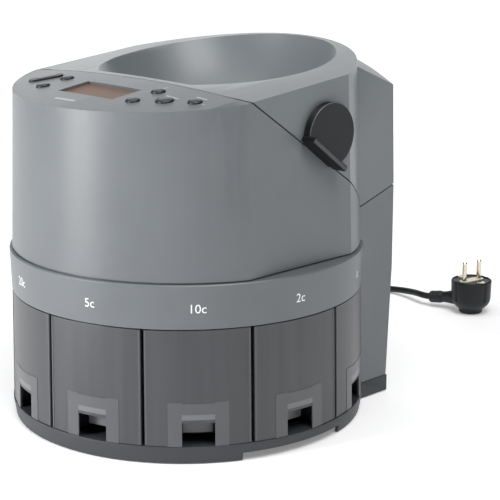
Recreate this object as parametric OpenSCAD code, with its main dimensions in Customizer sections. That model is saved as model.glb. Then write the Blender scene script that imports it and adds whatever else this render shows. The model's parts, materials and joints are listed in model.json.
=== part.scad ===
// Desktop coin sorting machine with eight pull-out cups.
// Millimetres. X is to the machine's right, Y to its back, Z up.
// The origin is on the floor, on the axis of the drum.

/* [Drum] */
// Radius of the drum housing at its lower edge
drum_r = 142.6; // [138:0.1:144]
// Inward draft of the housing walls, in degrees
draft = 1.95; // [1:0.05:2.5]
// Depth that each of the two flats is cut into the drum
flat_in = 11.6; // [9:0.1:14]
// Thickness of the housing and cover walls
wall = 3; // [2.4:0.1:3.6]
// Height of the front edge of the control panel
panel_z = 267.5; // [255:0.5:280]
// Rise of the control panel towards the seam
panel_rise = 12; // [8:0.5:15]
// Rise of the cover from the seam to the back of the rim
cover_rise = 18.5; // [14:0.5:22]
// Drop of the crowned top from its middle to the flats
crown = 5.4; // [3:0.1:7]

/* [Seam between housing and cover] */
// Distance of the seam in front of the drum axis
seam_y = 52; // [46:0.5:54]
// Height of the lowest point of the seam
seam_low = 168; // [160:0.5:176]
// Width of the gap along the seam
seam_gap = 0.9; // [0.6:0.1:1.5]

/* [Rear column] */
// Width of the rear column, as a share of the drum's radius
column_share = 1.4053; // [1.33:0.01:1.43]
// How far the column's back stands out past the drum
column_out = 0.6; // [-1:0.1:3]
// Width of the cable and switch bay's side wall
column_wall = 3; // [2.4:0.1:3.6]

/* [Base] */
// How far the base stands out past the drum
base_out = 3.4; // [1:0.1:5]
// Height of the base
base_h = 14.5; // [13:0.1:17]
// Thickness of the base plate
base_plate = 3; // [2.4:0.1:4]
// Radius of a rubber foot
foot_r = 9; // [7:0.5:11]

/* [Label ring] */
// How far the label ring stands out past the drum
ring_out = 2.4; // [1.4:0.1:3.2]
// Height of the label ring
ring_h = 34.4; // [32:0.1:37]
// Thickness of the label ring
ring_wall = 2.6; // [2:0.1:3.2]

/* [Coin cups] */
// Height of a cup
cup_h = 91.3; // [84:0.1:96]
// Angle from one cup to the next
cup_pitch = 33.6; // [33:0.1:34]
// Wall of a cup
cup_wall = 2; // [1.6:0.1:2.6]
// Radius of a cup's inner end
cup_inner_r = 52.5; // [51.5:0.5:60]
// Width of the finger opening
finger_w = 25; // [20:0.5:30]
// Height of the finger opening
finger_h = 18.5; // [15:0.5:22]
// Width of the pocket behind the finger opening
pocket_w = 44; // [36:0.5:50]
// Height of the pocket behind the finger opening
pocket_h = 34; // [28:0.5:40]

/* [Hopper] */
// Width left round the bowl, from its rim to the drum's outer wall
bowl_margin = 43.4; // [42:0.1:48]
// Distance of the bowl's centre behind the drum axis
bowl_y = 35.5; // [33:0.5:37]
// Depth of the bowl below its rim
bowl_d = 62; // [50:0.5:66]
// Radius of the feed hole in the bowl
feed_r = 20; // [16:0.5:24]

/* [Side knob] */
// Radius of the knob
knob_r = 28; // [24:0.5:30]
// Thickness of the knob's disc
knob_t = 6.6; // [4:0.1:8]
// Distance of the knob's centre behind the drum axis
knob_y = 30; // [26:0.5:34]
// Distance of the knob's grip edge from its centre
knob_chord = 18.6; // [16:0.1:19]

/* [Control panel] */
// Width of the display window
lcd_w = 64; // [56:0.5:68]
// Depth of the display window
lcd_d = 30; // [24:0.5:33]
// Radius of a small key
key_r = 5.4; // [4:0.1:6]
// Radius of the start key
start_r = 6.9; // [5:0.1:8]
// Clearance around each key
key_gap = 0.4; // [0.3:0.05:0.6]
// Travel of a key
key_travel = 1; // [0.6:0.1:1.2]

/* [Sorting mechanism] */
// Gap in radius between the sorting disc and the drum's outer wall
disc_margin = 53.6; // [52:0.1:60]
// Radius of the disc pulley
disc_pulley_r = 32.05; // [28:0.05:34]
// Radius of the motor pulley
motor_pulley_r = 7.3; // [6:0.05:8]
// Radius of the spindle
spindle_r = 4; // [3:0.5:5]
// Radius of the motor
motor_r = 18; // [15:0.5:20]
// Width of the narrowest coin window
coin_min = 17; // [15:0.5:18]
// Growth of the coin windows from one to the next
coin_step = 1.3; // [0.8:0.1:1.6]

/* [Mains lead] */
// Diameter of the mains lead
lead_d = 6.4; // [5.6:0.1:7]
// Radius of the plug's face
plug_r = 20; // [17:0.5:20]
// Height of the plug's body
plug_h = 34; // [30:0.5:37]

/* [Hidden] */

// Clearances
slide_gap = 0.2;
seat_gap = 0.1;
shaft_gap = 0.05;
belt_gap = 0.25;
shadow_gap = 1.4;
eps = 0.01;

// Radii and widths that follow the drum
flat_w = 2 * (drum_r - flat_in);
column_w = column_share * drum_r;
column_back = drum_r + column_out;
base_r = drum_r + base_out;
ring_r = drum_r + ring_out;
bowl_r = drum_r - bowl_margin;
disc_r = drum_r - disc_margin;

// Height of each storey
cup_z = base_h + slide_gap;
ring_z = cup_z + cup_h + 0.7;
ring_top = ring_z + ring_h;
shell_z = ring_top + shadow_gap;
shell_h = 190;
taper = tan(draft);
smooth = 180;

// Crowned top: two sloping surfaces that meet at the seam
crown_half = flat_w / 2 - 5;
crown_r = crown_half * crown_half / (2 * crown);
panel_front = drum_r - taper * (panel_z - shell_z);
panel_slope = atan(panel_rise / (panel_front - seam_y));
seam_top = panel_z + panel_rise;
cover_slope = atan(cover_rise / (panel_front + seam_y));

// Seam seen from the side: a long slope, then a short rise to the back
seam_side = seam_top - 4;
valley_y = drum_r - 40.7;
seam_fall = (seam_side - seam_low) / (valley_y + seam_y);
seam_climb = 0.314;
hinge_y = column_back;
hinge_z = seam_low + seam_climb * (hinge_y - valley_y);
hinge_r = 2.8;
hinge_pin_r = 1.5;
hinge_span = 160;
foot_ring = drum_r - 38.6;
foot_turn = 38;
foot_h = 8.5;
knuckle_w = 30;

// Cup bay
cup_count = 8;
core_r = 49.5;
fin_t = 1.4;
fin_r = drum_r - 8.6;
bay_half = cup_pitch * cup_count / 2;
cup_side = fin_t / 2 + 0.55;
cup_r_top = drum_r + 1;
cup_taper = 0.042;
function cup_angle(i) = bay_half - cup_pitch * (i - 0.5);

// Sorting storey
flange_t = 2.5;
flange_r = 66;
collar_r = drum_r - 16.1;
collar_t = 2.5;
deck_z = 148;
deck_t = 3;
drive_t = 3;
drive_r = 72;
hub_r = 16;
bearing_r = 11;
bearing_h = 7;
rail_r = disc_r + 3;
rail_t = 5;
rail_h = 12;
chute_r = rail_r + 18;
chute_w = 32;
chute_d = 22;
chute_t = 1.5;
motor_y = 46;
motor_h = 57;
pulley_z = ring_z + flange_t + drive_t + 2;
pulley_h = 8;
flange_lip = 1.2;
belt_t = 1.4;
belt_h = 5.2;

// Column
column_low_back = column_back - 5.2;
column_high_back = column_back - 4.7;
roof_edge_z = 269;
roof_slope = 22.9;
roof_r = 220;

// Knob on the right-hand flat
knob_z = seam_at(knob_y) + knob_chord / cos(atan(seam_fall));
knob_face = flat_w / 2 - taper * (knob_z - knob_r - shell_z) + 0.6;
knob_tilt = atan(seam_fall);
grip_w = 8;
grip_t = 11;
latch_r = 5;
bush_r = 9;

// Keys: place across, place along the slope from the panel's front edge, radius
panel_t = wall;
board_t = 1.6;
board_drop = panel_t + 12;
board_w = 200;
board_d = 52;
board_y = 50;
key_rise = 1.5;
key_flange = 1.4;

key_table = [[-59, 40.5, key_r], [-59, 65, key_r], [49, 40.5, key_r], [48, 67, key_r],
    [70.5, 53, start_r], [92, 63.5, key_r]];
arc_place = [-80, 60];
arc_turn = -28;
arc_l = 28;
arc_w = 9.5;

// Display
lcd_y = 49.5;
lcd_rim = 3;
lcd_glass_t = 1.5;
lcd_seat = panel_t + (lcd_w / 2 + lcd_rim) * (lcd_w / 2 + lcd_rim) / (2 * crown_r) + 0.1;

// Bowl: how far its curve runs on above the cover's top, slope of its front lip
rim_lift = 1.3;
lip_slope = 35;

// Switch and gland at the back of the column
switch_x = -62;
switch_z = 62;
switch_w = 27;
switch_h = 20;
rocker_r = 7.1;
rocker_in = 4;
rocker_pin_r = 1.2;
gland_x = -20;
gland_z = 32;
gland_r = 6;
lean_top = 110;

// Power supply
psu_w = 0.41 * column_w;
psu_d = 34;
psu_h = 66;

// Mains lead: route points from the gland to the coil and from the coil to the plug,
// each as place across, distance behind the column and height
lead_a = [[-20, 20.8, 30.6], [-20, 34.8, 29.8], [-28, 58.8, 30.5], [-48, 75.8, 33],
    [-75, 83.3, 36], [-110, 83.8, 37]];
lead_b = [[-145, 118.8, 3.4], [-146, 148.8, 3.4], [-142, 178.8, 3.4], [-133, 205.8, 3.4],
    [-118, 223.8, 3.6], [-98, 231.8, 4.4], [-78, 232, 6.6], [-62, 228.6, 8.6],
    [-52, 225.2, 9.8], [-44, 223.6, 10], [-36.4, 225, 10], [-30.6, 226.6, 10.5]];
coil_at = [-110, 118.8];
coil_r = 35;
coil_h = 40;
plug_at = [6, 236.8];
relief_turn = 15.6;
pin_turn = -10;
relief_l = 44;
relief_z = 13.9;
relief_drop = 4;
pin_gap = 9.5;
pin_r = 2.4;
pin_l = 19;

// ---------------------------------------------------------------- helpers

// Height of the seam's middle line at a place along Y
function seam_at(y) = y < valley_y
    ? seam_low + seam_fall * (valley_y - y)
    : seam_low + seam_climb * (y - valley_y);

// Radius of the housing's drum at a height
function drum_at(z) = drum_r - taper * (z - shell_z);

// Half width over the flats at a height
function flat_at(z) = flat_w / 2 - taper * (z - shell_z);

// Everything below a surface that rises to the back and is crowned across
module below_crown(y, z, slope, radius) {
    translate([0, y, z]) rotate([slope, 0, 0]) translate([0, 0, -radius])
        rotate([90, 0, 0]) cylinder(r = radius, h = 900, center = true, $fn = 720);
}

// An outline in the YZ plane, extruded across the machine
module across(width) {
    rotate([90, 0, 90]) linear_extrude(height = width, center = true) children();
}

// Part of the side view in front of and below the seam
module side_below(s) {
    polygon([
        [-300, -10], [-300, 420], [-seam_y - s, 420],
        [-seam_y - s, seam_at(-seam_y) - 1.22 * s],
        [valley_y, seam_low - 1.3 * s],
        [300, seam_at(300) - 1.05 * s], [300, -10]
    ]);
}

// Part of the side view behind and above the seam
module side_above(s) {
    polygon([
        [-seam_y + s, 420],
        [-seam_y + s, seam_at(-seam_y + s) + 1.22 * s],
        [valley_y, seam_low + 1.3 * s],
        [300, seam_at(300) + 1.05 * s], [300, 420]
    ]);
}

// Tapered drum with two flats
module drum_form(inset, low) {
    intersection() {
        translate([0, 0, low])
            cylinder(r1 = drum_at(low) - inset, r2 = drum_at(low + shell_h) - inset,
                h = shell_h, $fn = smooth);
        rotate([90, 0, 0]) linear_extrude(height = 400, center = true)
            polygon([
                [-flat_at(low) + inset, low], [flat_at(low) - inset, low],
                [flat_at(low + shell_h) - inset, low + shell_h],
                [-flat_at(low + shell_h) + inset, low + shell_h]
            ]);
    }
}

// Upper part of the column, behind the drum
module column_form(inset, low) {
    intersection() {
        across(column_w - 2 * inset) polygon([
            [20, low], [column_back - inset, low],
            [column_back - inset, hinge_z + 1],
            [column_high_back - inset, 310], [20, 310]
        ]);
        below_crown(column_high_back, roof_edge_z - inset + (column_w / 2) * (column_w / 2)
            / (2 * roof_r), -roof_slope, roof_r);
    }
}

// Outer form in front of the seam, shrunk by an inset
module front_form(inset, low) {
    intersection() {
        drum_form(inset, low);
        below_crown(-panel_front, panel_z - inset, panel_slope, crown_r);
        translate([-200, -400, 0]) cube([400, 400 - seam_y + eps, 400]);
    }
}

// Outer form behind the seam, shrunk by an inset
module rear_form(inset, low) {
    intersection() {
        union() {
            intersection() {
                drum_form(inset, low);
                translate([-200, -seam_y, 0]) cube([400, 400, 400]);
            }
            column_form(inset, low);
        }
        below_crown(-seam_y, seam_top - inset, cover_slope, crown_r);
    }
}

// Plan of the lower column: a wedge behind the last cups, open to the core
module column_plan(inset) {
    corner_y = column_w / 2 / tan(180 - bay_half) + 2;
    polygon([
        [column_w / 2 - inset, column_back], [column_w / 2 - inset, corner_y + 0.4 * inset],
        [58 - 0.4 * inset, 58 / tan(180 - bay_half) + 2 + inset],
        [-58 + 0.4 * inset, 58 / tan(180 - bay_half) + 2 + inset],
        [-column_w / 2 + inset, corner_y + 0.4 * inset], [-column_w / 2 + inset, column_back]
    ]);
}

// Lower column: the plan cut to the back wall's slope
module column_low(inset, low, high) {
    intersection() {
        translate([0, 0, low]) linear_extrude(height = high - low) column_plan(inset);
        across(400) polygon([
            [0, low - 1], [column_low_back - inset, low - 1],
            [column_back - inset, lean_top], [column_back - inset, high + 1], [0, high + 1]
        ]);
    }
}

// Wedge between two radial planes, its middle along -Y, with its sides set in
module wedge(half, side, from, to) {
    polygon([
        [from * tan(half) - side / cos(half), -from],
        [to * tan(half) - side / cos(half), -to],
        [-to * tan(half) + side / cos(half), -to],
        [-from * tan(half) + side / cos(half), -from]
    ]);
}

// Place on the panel: across, along the slope from its front edge, above it
module on_panel(x, along, up) {
    translate([0, -panel_front, panel_z]) rotate([panel_slope, 0, 0])
        translate([x, along, -x * x / (2 * crown_r)]) rotate([0, asin(x / crown_r), 0])
            translate([0, 0, up]) children();
}

// Round-ended bar
module pill(length, width, height) {
    linear_extrude(height = height) union() {
        square([width, length - width], center = true);
        translate([0, (length - width) / 2]) circle(d = width, $fn = 48);
        translate([0, -(length - width) / 2]) circle(d = width, $fn = 48);
    }
}

// ---------------------------------------------------------------- base

module skirt_solid(inset) {
    intersection() {
        union() {
            rotate_extrude($fn = smooth) polygon([
                [0, 0.6], [base_r - 1.8 - inset, 0.6], [base_r - inset, base_h - 2.5],
                [base_r - inset, base_h], [0, base_h]
            ]);
            translate([-column_w / 2 - 0.8 + inset, 0, 0.6])
                cube([column_w + 1.6 - 2 * inset, column_low_back + 1 - inset, base_h - 0.6]);
        }
        translate([-200, -200, 0]) cube([400, 200 + column_low_back + 1 - inset, base_h]);
    }
}

module base_tray() {
    color("dimgray") {
        difference() {
            skirt_solid(0);
            intersection() {
                skirt_solid(3);
                translate([-200, -200, 0]) cube([400, 400, base_h - base_plate]);
            }
            for (side = [-1, 1]) rotate([0, 0, side * 83.5])
                translate([0, 0, -1]) linear_extrude(height = 7.6)
                    wedge(19.5, 0, 60, 200);
        }
        for (p = foot_places()) translate([p[0], p[1], foot_h])
            cylinder(r = foot_r + 2, h = base_h - base_plate - foot_h + eps, $fn = 64);
    }
}

function foot_places() = [
    for (a = [foot_turn, -foot_turn, 180 - foot_turn, foot_turn - 180])
        [foot_ring * sin(a), -foot_ring * cos(a)]
];

module rubber_foot(i) {
    color("black") translate([foot_places()[i][0], foot_places()[i][1], 0])
        cylinder(r1 = foot_r - 0.8, r2 = foot_r, h = foot_h, $fn = 64);
}

// ---------------------------------------------------------------- cup bay

module bay_core() {
    color("dimgray") translate([0, 0, base_h]) linear_extrude(height = ring_z - base_h) {
        difference() {
            circle(r = core_r, $fn = smooth);
            circle(r = core_r - 2, $fn = smooth);
            rotate([0, 0, 180]) polygon([
                [0, 0], [120 * tan(180 - bay_half) - 0.6, -120],
                [-120 * tan(180 - bay_half) + 0.6, -120]
            ]);
        }
        for (i = [0:cup_count]) rotate([0, 0, bay_half - cup_pitch * i])
            translate([-fin_t / 2, -fin_r]) square([fin_t, fin_r - core_r + 1]);
    }
}

module cup_body(half, side, inner, inset, low, high) {
    intersection() {
        translate([0, 0, low]) linear_extrude(height = high - low)
            wedge(half, side, inner, 170);
        translate([0, 0, cup_z])
            cylinder(r1 = cup_r_top - cup_taper * cup_h - inset, r2 = cup_r_top - inset,
                h = cup_h, $fn = smooth);
    }
}

module coin_cup(i) {
    pocket_back = cup_r_top - cup_taper * cup_h - 22;
    color("gray", 0.6) rotate([0, 0, cup_angle(i)]) difference() {
        union() {
            difference() {
                cup_body(cup_pitch / 2, cup_side, cup_inner_r, 0, cup_z, cup_z + cup_h);
                translate([0, 0, cup_wall])
                    cup_body(cup_pitch / 2, cup_side + cup_wall, cup_inner_r + cup_wall,
                        cup_wall, cup_z, cup_z + cup_h + 1);
            }
            intersection() {
                translate([-pocket_w / 2, -160, cup_z])
                    cube([pocket_w, 160 - pocket_back, pocket_h]);
                cup_body(cup_pitch / 2, cup_side, cup_inner_r, eps, cup_z, cup_z + cup_h);
            }
        }
        intersection() {
            translate([-pocket_w / 2 + 1.6, -160, cup_z - 1])
                cube([pocket_w - 3.2, 160 - pocket_back - 1.6, pocket_h + 1 - 1.6]);
            cup_body(cup_pitch / 2, 0, cup_inner_r, cup_wall, cup_z - 1, cup_z + cup_h);
        }
        translate([-finger_w / 2, -160, cup_z - 1]) cube([finger_w, 40, finger_h + 1]);
    }
}

// ---------------------------------------------------------------- label ring

module ring_sector() {
    rotate([0, 0, 180]) wedge(180 - bay_half, -2, 0, 260);
}

module label_ring() {
    color("slategray") difference() {
        rotate_extrude($fn = smooth) polygon([
            [collar_r + seat_gap, ring_top - flange_t], [ring_r - ring_wall, ring_top - flange_t],
            [ring_r - ring_wall, ring_z], [ring_r - 1, ring_z], [ring_r, ring_top - 1],
            [ring_r - 1, ring_top], [collar_r + seat_gap, ring_top]
        ]);
        translate([0, 0, ring_z - 1]) linear_extrude(height = ring_h + 2) ring_sector();
    }
}

// Floor and collar under the mechanism, with a window over each cup
module sorter_floor() {
    color("dimgray") difference() {
        rotate_extrude($fn = smooth) polygon([
            [flange_r, ring_z], [collar_r, ring_z], [collar_r, deck_z],
            [collar_r - collar_t, deck_z], [collar_r - collar_t, ring_z + flange_t],
            [flange_r, ring_z + flange_t]
        ]);
        translate([0, 0, ring_z - 1]) linear_extrude(height = deck_z - ring_z + 2) ring_sector();
        for (i = [1:cup_count]) rotate([0, 0, cup_angle(i)])
            translate([-chute_w / 2 + chute_t, -chute_r - chute_d / 2 + chute_t, ring_z - 1])
                cube([chute_w - 2 * chute_t, chute_d - 2 * chute_t, flange_t + 2]);
    }
}

module coin_chutes() {
    low = ring_z + flange_t;
    color("lightgray") for (i = [1:cup_count]) rotate([0, 0, cup_angle(i)])
        translate([0, -chute_r, low]) difference() {
            translate([-chute_w / 2, -chute_d / 2, 0])
                cube([chute_w, chute_d, deck_z - low]);
            translate([-chute_w / 2 + chute_t, -chute_d / 2 + chute_t, -1])
                cube([chute_w - 2 * chute_t, chute_d - 2 * chute_t, deck_z - low + 2]);
        }
}

// ---------------------------------------------------------------- sorting mechanism

module drive_plate() {
    color("silver") difference() {
        translate([0, 0, ring_z + flange_t]) cylinder(r = drive_r, h = drive_t, $fn = smooth);
        translate([0, motor_y, ring_z]) cylinder(r = 6.5, h = 20, $fn = 48);
        for (a = [45, 135, 225, 315]) translate([0, motor_y, ring_z]) rotate([0, 0, a])
            translate([12, 0, 0]) cylinder(r = 1.6, h = 20, $fn = 24);
    }
}

module sorting_deck() {
    low = deck_z - 20;
    color("lightgray") difference() {
        union() {
            translate([0, 0, deck_z]) cylinder(r = collar_r, h = deck_t, $fn = smooth);
            translate([0, 0, low]) cylinder(r = hub_r, h = 20 + eps, $fn = 96);
        }
        translate([0, 0, low - 1])
            cylinder(r = bearing_r + shaft_gap, h = bearing_h + 1, $fn = 96);
        translate([0, 0, deck_z + deck_t - bearing_h])
            cylinder(r = bearing_r + shaft_gap, h = bearing_h + 1, $fn = 96);
        translate([0, 0, low - 1]) cylinder(r = spindle_r + 2, h = 40, $fn = 64);
        for (i = [1:cup_count]) rotate([0, 0, cup_angle(i)])
            translate([-coin_width(i) / 2, -chute_r - chute_d / 2 + chute_t, low])
                cube([coin_width(i), chute_d - 2 * chute_t, 40]);
    }
}

function coin_width(i) = coin_min + coin_step * (i - 1);

module sorting_rail() {
    color("silver") translate([0, 0, deck_z + deck_t]) difference() {
        cylinder(r = rail_r + rail_t, h = rail_h, $fn = smooth);
        translate([0, 0, -1]) cylinder(r = rail_r, h = rail_h + 2, $fn = smooth);
        for (i = [1:cup_count]) rotate([0, 0, cup_angle(i)])
            translate([-coin_width(i) / 2, -rail_r - rail_t - 1, -1])
                cube([coin_width(i), rail_t + 2, 1 + 5]);
    }
}

module coin_sensor() {
    color("black") rotate([0, 0, 180]) translate([0, -rail_r - rail_t / 2, deck_z + deck_t + rail_h])
        difference() {
            translate([-13, -9, 0]) cube([26, 18, 11]);
            translate([-9, -6, 3]) cube([18, 18, 9]);
        }
}

module ball_bearing(low) {
    color("silver") translate([0, 0, low]) difference() {
        cylinder(r = bearing_r, h = bearing_h, $fn = 96);
        translate([0, 0, -1]) cylinder(r = spindle_r + shaft_gap, h = bearing_h + 2, $fn = 96);
        for (z = [-1, bearing_h - 0.8]) translate([0, 0, z]) difference() {
            cylinder(r = bearing_r - 2, h = 1.8, $fn = 96);
            translate([0, 0, -1]) cylinder(r = spindle_r + 2, h = 4, $fn = 96);
        }
    }
}

module bearing_upper() {
    ball_bearing(deck_z + deck_t - bearing_h);
}

module bearing_lower() {
    ball_bearing(deck_z - 20);
}

module pulley(radius, bore) {
    difference() {
        union() {
            cylinder(r = radius, h = pulley_h, $fn = 96);
            cylinder(r = radius + 2, h = flange_lip, $fn = 96);
            translate([0, 0, pulley_h - flange_lip]) cylinder(r = radius + 2, h = flange_lip, $fn = 96);
        }
        translate([0, 0, -1]) cylinder(r = bore, h = pulley_h + 2, $fn = 64);
    }
}

module disc_spindle() {
    top = deck_z + deck_t + 8;
    color("silver") difference() {
        union() {
            translate([0, 0, pulley_z - 1.8]) cylinder(r = spindle_r, h = top - pulley_z + 1.8, $fn = 64);
            translate([0, 0, pulley_z]) pulley(disc_pulley_r, spindle_r - 1);
        }
        for (a = [0:60:300]) rotate([0, 0, a]) translate([disc_pulley_r * 0.58, 0, pulley_z - 1])
            cylinder(r = disc_pulley_r * 0.19, h = pulley_h + 2, $fn = 48);
    }
}

module drive_motor() {
    top = ring_z + flange_t;
    color("gray") translate([0, motor_y, 0]) difference() {
        union() {
            translate([0, 0, top - motor_h]) cylinder(r = motor_r, h = motor_h, $fn = 96);
            translate([0, 0, top - eps]) cylinder(r = 6, h = drive_t, $fn = 48);
            translate([0, 0, top - motor_h - 5]) cylinder(r = 7, h = 5 + eps, $fn = 48);
        }
        translate([0, 0, top - 20]) cylinder(r = 2.05, h = 40, $fn = 48);
    }
}

module motor_pulley() {
    top = ring_z + flange_t;
    color("white") translate([0, motor_y, 0]) union() {
        translate([0, 0, top - 18]) cylinder(r = 2, h = pulley_z + pulley_h - top + 18, $fn = 48);
        translate([0, 0, pulley_z]) pulley(motor_pulley_r, 1);
    }
}

// Outline of a belt round both pulleys, at a distance from their grooves
module belt_outline(off) {
    big = disc_pulley_r + off;
    small = motor_pulley_r + off;
    lean = asin((disc_pulley_r - motor_pulley_r) / motor_y);
    union() {
        circle(r = big, $fn = smooth);
        translate([0, motor_y]) circle(r = small, $fn = 96);
        polygon([
            [big * cos(lean), big * sin(lean)],
            [small * cos(lean), motor_y + small * sin(lean)],
            [-small * cos(lean), motor_y + small * sin(lean)],
            [-big * cos(lean), big * sin(lean)]
        ]);
    }
}

module drive_belt() {
    color("black") translate([0, 0, pulley_z + (pulley_h - belt_h) / 2 ])
        linear_extrude(height = belt_h) difference() {
            belt_outline(belt_gap + belt_t);
            belt_outline(belt_gap);
        }
}

module sorting_disc() {
    low = deck_z + deck_t + 0.6;
    color("lightgray") difference() {
        union() {
            translate([0, 0, low]) rotate_extrude($fn = smooth) polygon([
                [0, 0], [disc_r, 0], [disc_r, 3], [62, 4.2], [30, 9], [14, 17], [0, 19]
            ]);
            for (a = [0:30:330]) rotate([0, 0, a]) translate([26, -0.8, low])
                cube([disc_r - 28, 1.6, 9.5]);
        }
        translate([0, 0, low - 1]) cylinder(r = spindle_r + shaft_gap, h = 9, $fn = 64);
    }
}

// ---------------------------------------------------------------- housing

module key_holes() {
    for (k = [0:len(key_table) - 1]) on_panel(key_table[k][0], key_table[k][1], -8)
        cylinder(r = key_table[k][2] + key_gap, h = 12, $fn = 64);
    on_panel(arc_place[0], arc_place[1], -8) rotate([0, 0, arc_turn])
        pill(arc_l + 2 * key_gap, arc_w + 2 * key_gap, 12);
}

module main_housing() {
    color("slategray") difference() {
        union() {
            intersection() {
                union() {
                    difference() {
                        union() {
                            front_form(0, shell_z);
                            rear_form(0, shell_z);
                        }
                        front_form(wall, shell_z - 5);
                        rear_form(wall, shell_z - 5);
                    }
                    difference() {
                        intersection() {
                            drum_form(1.4, ring_top);
                            translate([-200, -200, ring_top]) cube([400, 400, 6]);
                        }
                        drum_form(wall + 0.8, ring_top - 5);
                        translate([0, 0, ring_top - 1]) linear_extrude(height = 60) ring_sector();
                    }
                    board_posts();
                }
                across(400) side_below(seam_gap / 2);
            }
            difference() {
                column_low(0, base_h, shell_z + 4);
                column_low(column_wall, base_h - 1, shell_z + 5);
                translate([-52, 0, 0]) cube([104, 100, 200]);
            }
            hinge_barrels(hinge_r, 0);
        }
        key_holes();
        on_panel(0, lcd_y, 0) translate([-lcd_w / 2, -lcd_d / 2, -8]) cube([lcd_w, lcd_d, 12]);
        hinge_bore();
        hinge_gaps(1);
        on_back(switch_x, switch_z) translate([-switch_w / 2, -10, -switch_h / 2])
            cube([switch_w, 20, switch_h]);
        on_back(gland_x, gland_z) translate([0, -10, 0]) rotate([-90, 0, 0])
            cylinder(r = gland_r + shaft_gap, h = 20, $fn = 64);
    }
}

// Hinge barrels along the column's back: which = 0 housing, 1 cover
module hinge_barrels(radius, which) {
    for (x = which == 0 ? [-65, 65] : [0])
        translate([x, hinge_y, hinge_z]) rotate([0, 90, 0])
            cylinder(r = radius, h = knuckle_w + (which == 1 ? 55 : 0), center = true, $fn = 64);
}

module hinge_bore() {
    translate([0, hinge_y, hinge_z]) rotate([0, 90, 0])
        cylinder(r = hinge_pin_r + shaft_gap, h = hinge_span + 20, center = true, $fn = 48);
}

// Room cut into one side for the other side's barrels
module hinge_gaps(which) {
    for (x = which == 0 ? [-65, 65] : [0])
        translate([x, hinge_y, hinge_z]) rotate([0, 90, 0])
            cylinder(r = hinge_r + 0.4, h = knuckle_w + 0.8 + (which == 1 ? 55 : 0), center = true,
                $fn = 64);
}

module hinge_pin() {
    color("silver") translate([0, hinge_y, hinge_z]) rotate([0, 90, 0])
        cylinder(r = hinge_pin_r, h = hinge_span, center = true, $fn = 48);
}

// ---------------------------------------------------------------- electronics

module panel_board() {
    color("darkgreen") intersection() {
        on_panel(0, board_y, -board_drop) translate([-board_w / 2, -board_d / 2, 0])
            cube([board_w, board_d, board_t]);
        drum_form(wall + 1, shell_z);
    }
}

// Plate of the display's size and rim, at a depth below the panel
module lcd_plate(low, high) {
    on_panel(0, lcd_y, low) translate([-lcd_w / 2 - lcd_rim, -lcd_d / 2 - lcd_rim, 0])
        cube([lcd_w + 2 * lcd_rim, lcd_d + 2 * lcd_rim, high - low]);
}

module lcd_module() {
    color("silver") lcd_plate(board_t - board_drop, -lcd_seat - lcd_glass_t);
}

module lcd_window() {
    color("rosybrown") lcd_plate(-lcd_seat - lcd_glass_t, -lcd_seat);
}

// Posts under the panel that carry the board
module board_posts() {
    for (p = [[-45, board_y - 22], [45, board_y - 22], [-38, board_y + 22.5], [38, board_y + 22.5]])
        on_panel(0, p[1], board_t - board_drop) translate([p[0], 0, 0])
            cylinder(r = 3, h = board_drop - board_t - wall / 2, $fn = 48);
}

module power_supply() {
    color("silver") translate([-10, column_low_back - 10 - psu_d, base_h]) difference() {
        cube([psu_w, psu_d, psu_h]);
        for (i = [0:5]) translate([7 + 12 * i, -1, 16]) cube([5, 3, psu_h - 30]);
    }
}

// Place on the column's lower back wall, with its +Y square to the wall
module on_back(x, z) {
    lean = atan((column_back - column_low_back) / (lean_top - base_h));
    translate([x, column_low_back + (z - base_h) * tan(lean), z]) rotate([-lean, 0, 0]) children();
}

module switch_frame() {
    color("black") on_back(switch_x, switch_z) difference() {
        union() {
            translate([-switch_w / 2 + seat_gap, -13, -switch_h / 2 + seat_gap])
                cube([switch_w - 2 * seat_gap, 13 + seat_gap + eps, switch_h - 2 * seat_gap]);
            translate([-switch_w / 2 - 2, seat_gap, -switch_h / 2 - 2])
                cube([switch_w + 4, 1.6, switch_h + 4]);
        }
        translate([-switch_w / 2 + 2.5, -10.5, -switch_h / 2 + 2.5])
            cube([switch_w - 5, 20, switch_h - 5]);
        translate([0, -rocker_in, 0]) rotate([0, 90, 0])
            cylinder(r = rocker_pin_r + shaft_gap, h = switch_w - 2, center = true, $fn = 32);
    }
}

module switch_rocker() {
    color("black") on_back(switch_x, switch_z) translate([0, -rocker_in, 0]) union() {
        intersection() {
            rotate([0, 90, 0]) cylinder(r = rocker_r, h = switch_w - 5.5, center = true, $fn = 96);
            translate([-20, -3, -10]) cube([40, 20, 20]);
        }
        rotate([0, 90, 0]) cylinder(r = rocker_pin_r, h = switch_w - 3, center = true, $fn = 32);
    }
}

module cable_gland() {
    color("black") on_back(gland_x, gland_z) rotate([-90, 0, 0]) difference() {
        union() {
            translate([0, 0, -9]) cylinder(r = gland_r, h = 9 + seat_gap + eps, $fn = 64);
            translate([0, 0, seat_gap]) cylinder(r = gland_r + 2.2, h = 2.4, $fn = 64);
            translate([0, 0, 2.4]) cylinder(r1 = gland_r, r2 = lead_d / 2 + 1.2, h = 22.6, $fn = 64);
        }
        translate([0, 0, -20]) cylinder(r = lead_d / 2 - 0.2, h = 60, $fn = 48);
    }
}

// ---------------------------------------------------------------- hopper cover

// Bowl's wall as a curve, grown by t
function bowl_curve(t) = [
    for (i = [0:14]) let (r = 12 + (bowl_r - 12) * i / 14)
        [r + t, -bowl_d * (1 - pow(r / bowl_r, 2.6)) - t]
];

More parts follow.
